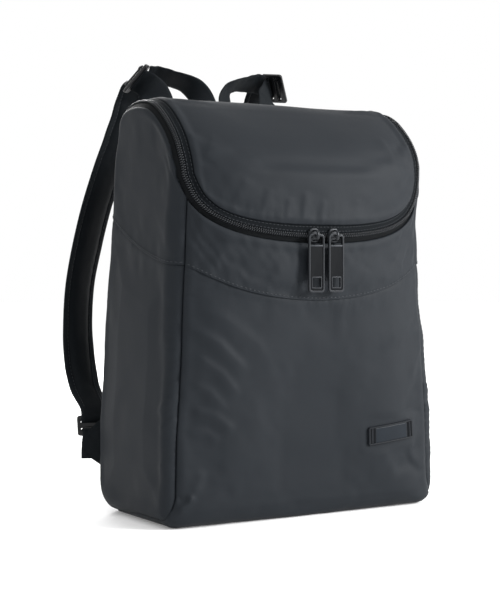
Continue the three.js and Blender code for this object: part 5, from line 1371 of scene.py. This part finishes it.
def centripetal(P, t):
    """The smooth line through points P at t from 0 to len - 1."""
    n = len(P) - 1
    out = []
    for tt in t:
        i = min(int(tt), n - 1); w = tt - i
        p1, p2 = P[i], P[i + 1]
        p0 = P[i - 1] if i > 0 else 2 * P[0] - P[1]
        p3 = P[i + 2] if i + 2 <= n else 2 * P[n] - P[n - 1]
        d0, d1, d2 = (math.sqrt(np.linalg.norm(x)) for x in (p0 - p1, p1 - p2, p2 - p3))
        d1 = d1 if d1 > 1e-4 else 1.0; d0 = d0 if d0 > 1e-4 else d1; d2 = d2 if d2 > 1e-4 else d1
        t1 = ((p1 - p0) / d0 - (p2 - p0) / (d0 + d1) + (p2 - p1) / d1) * d1
        t2 = ((p2 - p1) / d1 - (p3 - p1) / (d1 + d2) + (p3 - p2) / d2) * d1
        out.append(p1 + t1 * w + (-3 * p1 + 3 * p2 - 2 * t1 - t2) * w * w + (2 * p1 - 2 * p2 + t1 + t2) * w ** 3)
    return np.array(out)


def strap_line(table, m, top, low=None, top_rows=99, step=1.0):
    rows = []
    for i, q in enumerate(table):
        if len(q) == 8:
            rows.append((np.array(q[:3]) * [m, 1, 1], nrm(np.array(q[3:6]) * [m, 1, 1]), q[6], q[7]))
        else:
            c, a, b, n = slider_frame(top if i < top_rows else low, m)
            rows.append((c + b * q[0] + n * q[1], a, q[2], q[3]))
    W = [rows[0][1]]
    for r in rows[1:]:
        W.append(r[1] if r[1] @ W[-1] > 0 else -r[1])
    C = np.array([r[0] for r in rows]); W = np.array(W); S = np.array([[r[2], r[3]] for r in rows])
    t = []
    for i in range(len(rows) - 1):
        k = max(2, int(np.ceil(np.linalg.norm(C[i + 1] - C[i]) / step)))
        t += list(i + np.arange(k) / k)
    t.append(len(rows) - 1)
    t = np.array(t)
    c = centripetal(C, t)
    i = np.minimum(t.astype(int), len(rows) - 2); f = t - i; e = (f * f * (3 - 2 * f))[:, None]
    w = W[i] * (1 - e) + W[i + 1] * e
    s = S[i] * (1 - e) + S[i + 1] * e
    for _ in range(8):
        w[1:-1] = 0.25 * w[:-2] + 0.5 * w[1:-1] + 0.25 * w[2:]
    tg = np.gradient(c, axis=0); tg /= np.linalg.norm(tg, axis=1, keepdims=True)
    w = w - tg * (w * tg).sum(1, keepdims=True); w /= np.linalg.norm(w, axis=1, keepdims=True)
    n = np.cross(tg, w)
    L = np.concatenate([[0], np.cumsum(np.linalg.norm(np.diff(c, axis=0), axis=1))])
    return dict(c=c, w=w, n=n, t=tg, width=s[:, 0], thick=s[:, 1], L=L)


def sweep(name, ln, section, mat, replaces, face_mat=None, uvw=None):
    """section(i, L): (k, 2) offsets along w and n for each station, in mm."""
    rings = np.array([ln["c"][i] + sec[:, :1] * ln["w"][i] + sec[:, 1:] * ln["n"][i] for i, sec in enumerate(section)])
    R, K, _ = rings.shape
    F = grid_faces(R, K, wrap=True)
    caps = [tuple(range(K)), tuple((R - 1) * K + k for k in range(K))[::-1]]
    vol = 0
    v = rings.reshape(-1, 3)
    a, b, c, d = (v[F[:, i]] for i in range(4))
    vol = (a * np.cross(b, c)).sum() + (a * np.cross(c, d)).sum()
    caps_v = sum((v[q[0]] * np.cross(v[q[i]], v[q[i + 1]])).sum() for q in (caps[0], caps[1]) for i in range(1, K - 1))
    if vol + caps_v * 0 < 0:
        F = F[:, ::-1]; caps = [q[::-1] for q in caps]
    sec0 = np.array(section)
    ar = sec0[..., 0]
    uv = np.stack([ar, np.broadcast_to(ln["L"][:, None], ar.shape)], -1).reshape(-1, 2)
    fm = None
    if face_mat is not None:
        fm = list(np.tile(face_mat, R - 1)) + [face_mat[0]] * 2
    return make(name, v, [tuple(q) for q in F] + caps, mat, replaces=replaces, uv=uv, face_mat=fm)


def web_sections(ln, nw=14, rib=1.3, amp=0.11, wave=0.25, seed=1):
    out = []
    for i in range(len(ln["c"])):
        hw, ht = ln["width"][i] / 2, ln["thick"][i] / 2
        L = ln["L"][i]
        r = amp * math.sin(2 * math.pi * L / rib)
        u = np.linspace(-1, 1, nw)
        # faces slightly wavy; the rib ripple fades out at the selvedge
        edge = np.exp(-((1 - np.abs(u)) * hw / 1.3) ** 2)
        wv = wave * noise(u * 1.1 + 4, np.full(nw, L / 26.0), seed)
        roundness = np.sqrt(np.maximum(0, 1 - np.clip((np.abs(u) * hw - (hw - ht)) / ht, 0, 1) ** 2))
        h = ht * np.maximum(roundness, 0.25) * (1 + 0.0 * edge) + r * (1 - edge) * roundness
        top = np.stack([u * hw, h + wv], -1)
        bot = np.stack([u[::-1] * hw, -h[::-1] + wv[::-1]], -1)
        out.append(np.vstack([top, bot]))
    return out


def pad_sections(ln, nw=25, seed=5):
    """Padded strap: bound edges, a sewn line inside each and a crowned pad between; plain near the sliders."""
    out = []
    for i in range(len(ln["c"])):
        hw, th = ln["width"][i] / 2, ln["thick"][i]
        L = ln["L"][i]
        pad = float(ease((th - 2.4) / 2.6))
        bw = 5.0 + 1.5 * pad                                                  # width of the binding
        u = np.concatenate([np.linspace(-hw, -hw + bw, 6), np.linspace(-hw + bw + 0.6, hw - bw - 0.6, nw - 12), np.linspace(hw - bw, hw, 6)])
        d = hw - np.abs(u)
        mid = np.clip((d - bw) / max(hw - bw, 1), 0, 1)
        crown = (th / 2 + 1.4 * pad) * (1 - (1 - mid) ** 3)
        bind = 1.25 * np.sqrt(np.clip(1 - ((d - bw / 2) / (bw / 2 + 0.15)) ** 2, 0.04, 1)) * 0.9 + 0.25
        h = np.where(d <= bw, bind, 0.75 + crown * pad * 0.92)
        wv = (0.35 * noise(u / 18 + 3, np.full(len(u), L / 22.0), seed) + 0.12 * noise(u / 6, np.full(len(u), L / 7.0), seed + 1)) * np.clip(mid * 2, 0, 1) * pad
        pk = 0.22 * np.sin(L / 2.1 + 1.3 * math.sin(L / 9)) * np.exp(-np.abs(d - bw - 1.2) / 2.2) * pad
        top = np.stack([u, h + wv + pk], -1)
        bot = np.stack([u[::-1], -(h + pk)[::-1] * 0.96 + wv[::-1]], -1)
        out.append(np.vstack([top, bot]))
    return out


def three_bar(name, q, m, replaces):
    c, a, b, n = slider_frame(q, m)
    n = np.cross(a, b)
    outer = rrect(q["along"], q["across"], 3.0, 6)
    holes = [rrect(q["along"] - 7, 3.3, 0.9, 4, 0, k * (q["bar"] / 2 + q["slot"] / 2)) for k in (-1, 1)]
    v, f = chamfer_plate(outer, holes, q["thick"] + 0.3, 0.75, sub=4)
    # grip ribs on the two long rims
    parts = [(placed(v, c, a, b, n), f)]
    for k in (-1, 1):
        for j in range(-5, 6):
            rv, rf = box_mesh(0.7, 1.7, q["thick"] + 0.75, 0.25)
            parts.append((placed(rv + np.array([j * 2.2, k * (q["across"] / 2 - 1.75), 0]), c, a, b, n), rf))
    V, F = join(parts)
    o = make(name, V, F, PLASTIC, replaces=replaces)
    flat_shade(o, 40)
    return o


def box_stitch(center, a, b, w, h, n):
    """A sewn box with a cross: stitch rows in the plane of a and b."""
    P = lambda x, y: np.asarray(center) + a * x + b * y
    lines = [[(-w, -h), (w, -h)], [(w, -h), (w, h)], [(w, h), (-w, h)], [(-w, h), (-w, -h)], [(-w, -h), (w, h)], [(-w, h), (w, -h)]]
    return [(np.array([P(*p0) * (1 - t) + P(*p1) * t for t in np.linspace(0, 1, 12)]), np.tile(n, (12, 1))) for p0, p1 in lines]


stitch_rows = []
for label, m in (("left", 1), ("right", -1)):
    tw = strap_line(TOP_WEB, m, TOP_SLIDER, step=0.45)
    sweep("top_webbing_" + label, tw, web_sections(tw, seed=90 + m), WEBM, ["top_web_" + label])
    rb = strap_line(RISER, m, TOP_SLIDER, step=0.45)
    sweep("riser_webbing_" + label, rb, web_sections(rb, nw=18, seed=94 + m, wave=0.35), WEBM, ["riser_band_" + label])
    lw = strap_line(LOWER_WEB, m, LOW_SLIDER, step=0.45)
    sweep("lower_webbing_" + label, lw, web_sections(lw, seed=98 + m, wave=0.1), WEBM, ["lower_web_" + label])
    st = strap_line(STRAP, m, TOP_SLIDER, LOW_SLIDER, 6, step=1.2)
    fm = np.array([1] * 5 + [0] * 15 + [1] * 4)
    secs = pad_sections(st)
    K = len(secs[0])
    fm = np.zeros(K, int)
    fm[[0, 1, 2, 3, 4]] = 1; fm[[19, 20, 21, 22, 23, 24]] = 1; fm[[25, 26, 27, 28, 29]] = 1; fm[[44, 45, 46, 47, 48, 49]] = 1
    sp = sweep("shoulder_pad_" + label, st, secs, [STRAPM, WEBM], ["shoulder_strap_" + label], face_mat=fm)
    sec = np.array(secs)
    for k in (4, 20, 29, 45):
        p = st["c"] + sec[:, k, :1] * st["w"] + sec[:, k, 1:] * st["n"]
        sgn = 1 if k < 25 else -1
        inner = np.where(st["thick"] > 2.3)[0]
        stitch_rows.append((p[inner[4]:inner[-4]], (st["n"] * sgn)[inner[4]:inner[-4]]))
    three_bar("strap_slider_" + label, TOP_SLIDER, m, ["top_slider_" + label])
    three_bar("strap_buckle_" + label, LOW_SLIDER, m, ["lower_buckle_" + label])
    # anchor tab: folded cloth sewn into the back seam
    T = np.array([(-140.4, 68.6, 37), (-155.7, 78.1, 52), (-155.7, 78.1, 68), (-140.4, 68.6, 88)]) * [m, 1, 1]
    o_, d_ = T[0], nrm((T[1] - T[0]) * [1, 1, 0])
    nn = np.array([-d_[1], d_[0], 0.0]) * (1 if m > 0 else -1)
    gu, gv = np.meshgrid(np.linspace(0, 1, 26), np.linspace(0, 1, 34))
    gu = gu * (1 - 0.42 * (1 - np.sqrt(1 - np.clip((np.abs(gv - 0.5) - 0.12) / 0.38, 0, 1) ** 2)))
    zlo = T[0][2] + (T[1][2] - T[0][2]) * gu; zhi = T[3][2] + (T[2][2] - T[3][2]) * gu
    span = np.linalg.norm((T[1] - T[0])[:2])
    base = o_[None, None] + d_ * (gu * (span + 4.2) - 4.2)[..., None]
    base[..., 2] = zlo + (zhi - zlo) * gv
    e = np.minimum(np.minimum(1 - gu, gv), 1 - gv) * 22
    hh = 0.95 * np.sqrt(np.clip(e / 1.2, 0.05, 1)) + 0.25 * noise(gu * 3, gv * 4, 7) - 0.25 * np.exp(-((e - 2.6) / 0.6) ** 2)
    A, B = base + nn * (hh - 0.9)[..., None], base - nn * (hh + 0.9)[..., None]
    R, C, _ = A.shape
    f = grid_faces(R, C); ri = np.concatenate([np.arange(C), (np.arange(1, R) * C + C - 1), ((R - 1) * C + np.arange(C - 2, -1, -1)), (np.arange(R - 2, 0, -1) * C)])
    nx = np.roll(ri, -1); o2 = R * C
    faces = np.vstack([f, f[:, ::-1] + o2, np.stack([ri, ri + o2, nx + o2, nx], -1)])
    a_, b_, c_ = (A.reshape(-1, 3)[f[:, i]] for i in (0, 1, 3))
    if (np.cross(b_ - a_, c_ - a_) @ nn).sum() < 0:
        faces = faces[:, ::-1]
    make("seam_tab_" + label, np.vstack([A.reshape(-1, 3), B.reshape(-1, 3)]), faces, STRAPM, replaces=["anchor_tab_" + label], uv=np.tile(np.stack([gu * 18, gv * 50], -1).reshape(-1, 2), (2, 1)))
    # sewn boxes at the feet of the webs
    i0 = int(np.searchsorted(rb["L"], rb["L"][-1] - 12))
    for ln, i in ((tw, int(np.searchsorted(tw["L"], 12))), (rb, i0)):
        n = ln["n"][i] * (1 if ln["n"][i][1] > 0 else -1)
        c = ln["c"][i] + n * (ln["thick"][i] / 2 + 0.2)
        stitch_rows += box_stitch(c, ln["w"][i], ln["t"][i], ln["width"][i] / 2 - 3, 8, n)
add_stitches("strap_stitches", stitch_rows)

# ------------------------------------------------------------------ stage, light and camera
floor_v = [(0, 0, 0)] + [(7 * math.cos(a), 7 * math.sin(a), 0) for a in np.linspace(0, 2 * math.pi, 97)[:-1]]
fme = bpy.data.meshes.new("floor")
fme.from_pydata([(x, y, -0.0004) for x, y, _ in floor_v], [], [(0, i + 1, (i + 1) % 96 + 1) for i in range(96)])
floor = bpy.data.objects.new("floor", fme)
scene.collection.objects.link(floor)
fmat, fnt, fb = material("floor_pale")
fb.inputs["Base Color"].default_value = (0.9, 0.9, 0.9, 1)
fb.inputs["Emission Color"].default_value = (1, 1, 1, 1)
fb.inputs["Emission Strength"].default_value = 0.14
fb.inputs["Roughness"].default_value = 0.9
fb.inputs["Specular IOR Level"].default_value = 0.1
fme.materials.append(fmat)

world = bpy.data.worlds.new("studio")
scene.world = world
world.use_nodes = True
world.node_tree.nodes["Background"].inputs["Color"].default_value = (1.0, 1.0, 1.0, 1)
world.node_tree.nodes["Background"].inputs["Strength"].default_value = 1.0


def area(name, loc, target, size, power, color=(1, 1, 1)):
    l = bpy.data.lights.new(name, "AREA")
    l.shape = "DISK"
    l.size = size
    l.energy = power
    l.color = color
    o = bpy.data.objects.new(name, l)
    o.location = loc
    o.rotation_euler = (Vector(target) - Vector(loc)).to_track_quat("-Z", "Y").to_euler()
    scene.collection.objects.link(o)
    return o


area("key", (1.6, -1.55, 1.0), (0, 0, 0.2), 0.9, 84)
area("top", (0.5, -0.5, 2.0), (0, 0, 0.2), 1.0, 5)
area("back", (0.35, 2.0, 1.2), (0, 0, 0.2), 0.9, 40)

cam_d = bpy.data.cameras.new("camera")
cam_d.sensor_width = 36
cam_d.sensor_height = 36
cam_d.lens = 1479.8 * 36 / 602
cam_d.shift_y = -(301 - 260.93) / 602
cam_d.clip_start = 0.05
cam_d.clip_end = 60
cam = bpy.data.objects.new("camera", cam_d)
cam.location = (-0.7519, -1.1905, 0.2323)
cam.rotation_euler = Vector((0.5246, 0.8514, 0.0)).to_track_quat("-Z", "Y").to_euler()
scene.collection.objects.link(cam)
scene.camera = cam
scene.view_settings.view_transform = "Standard"
scene.view_settings.look = "None"
scene.view_settings.exposure = 0
scene.view_settings.gamma = 1
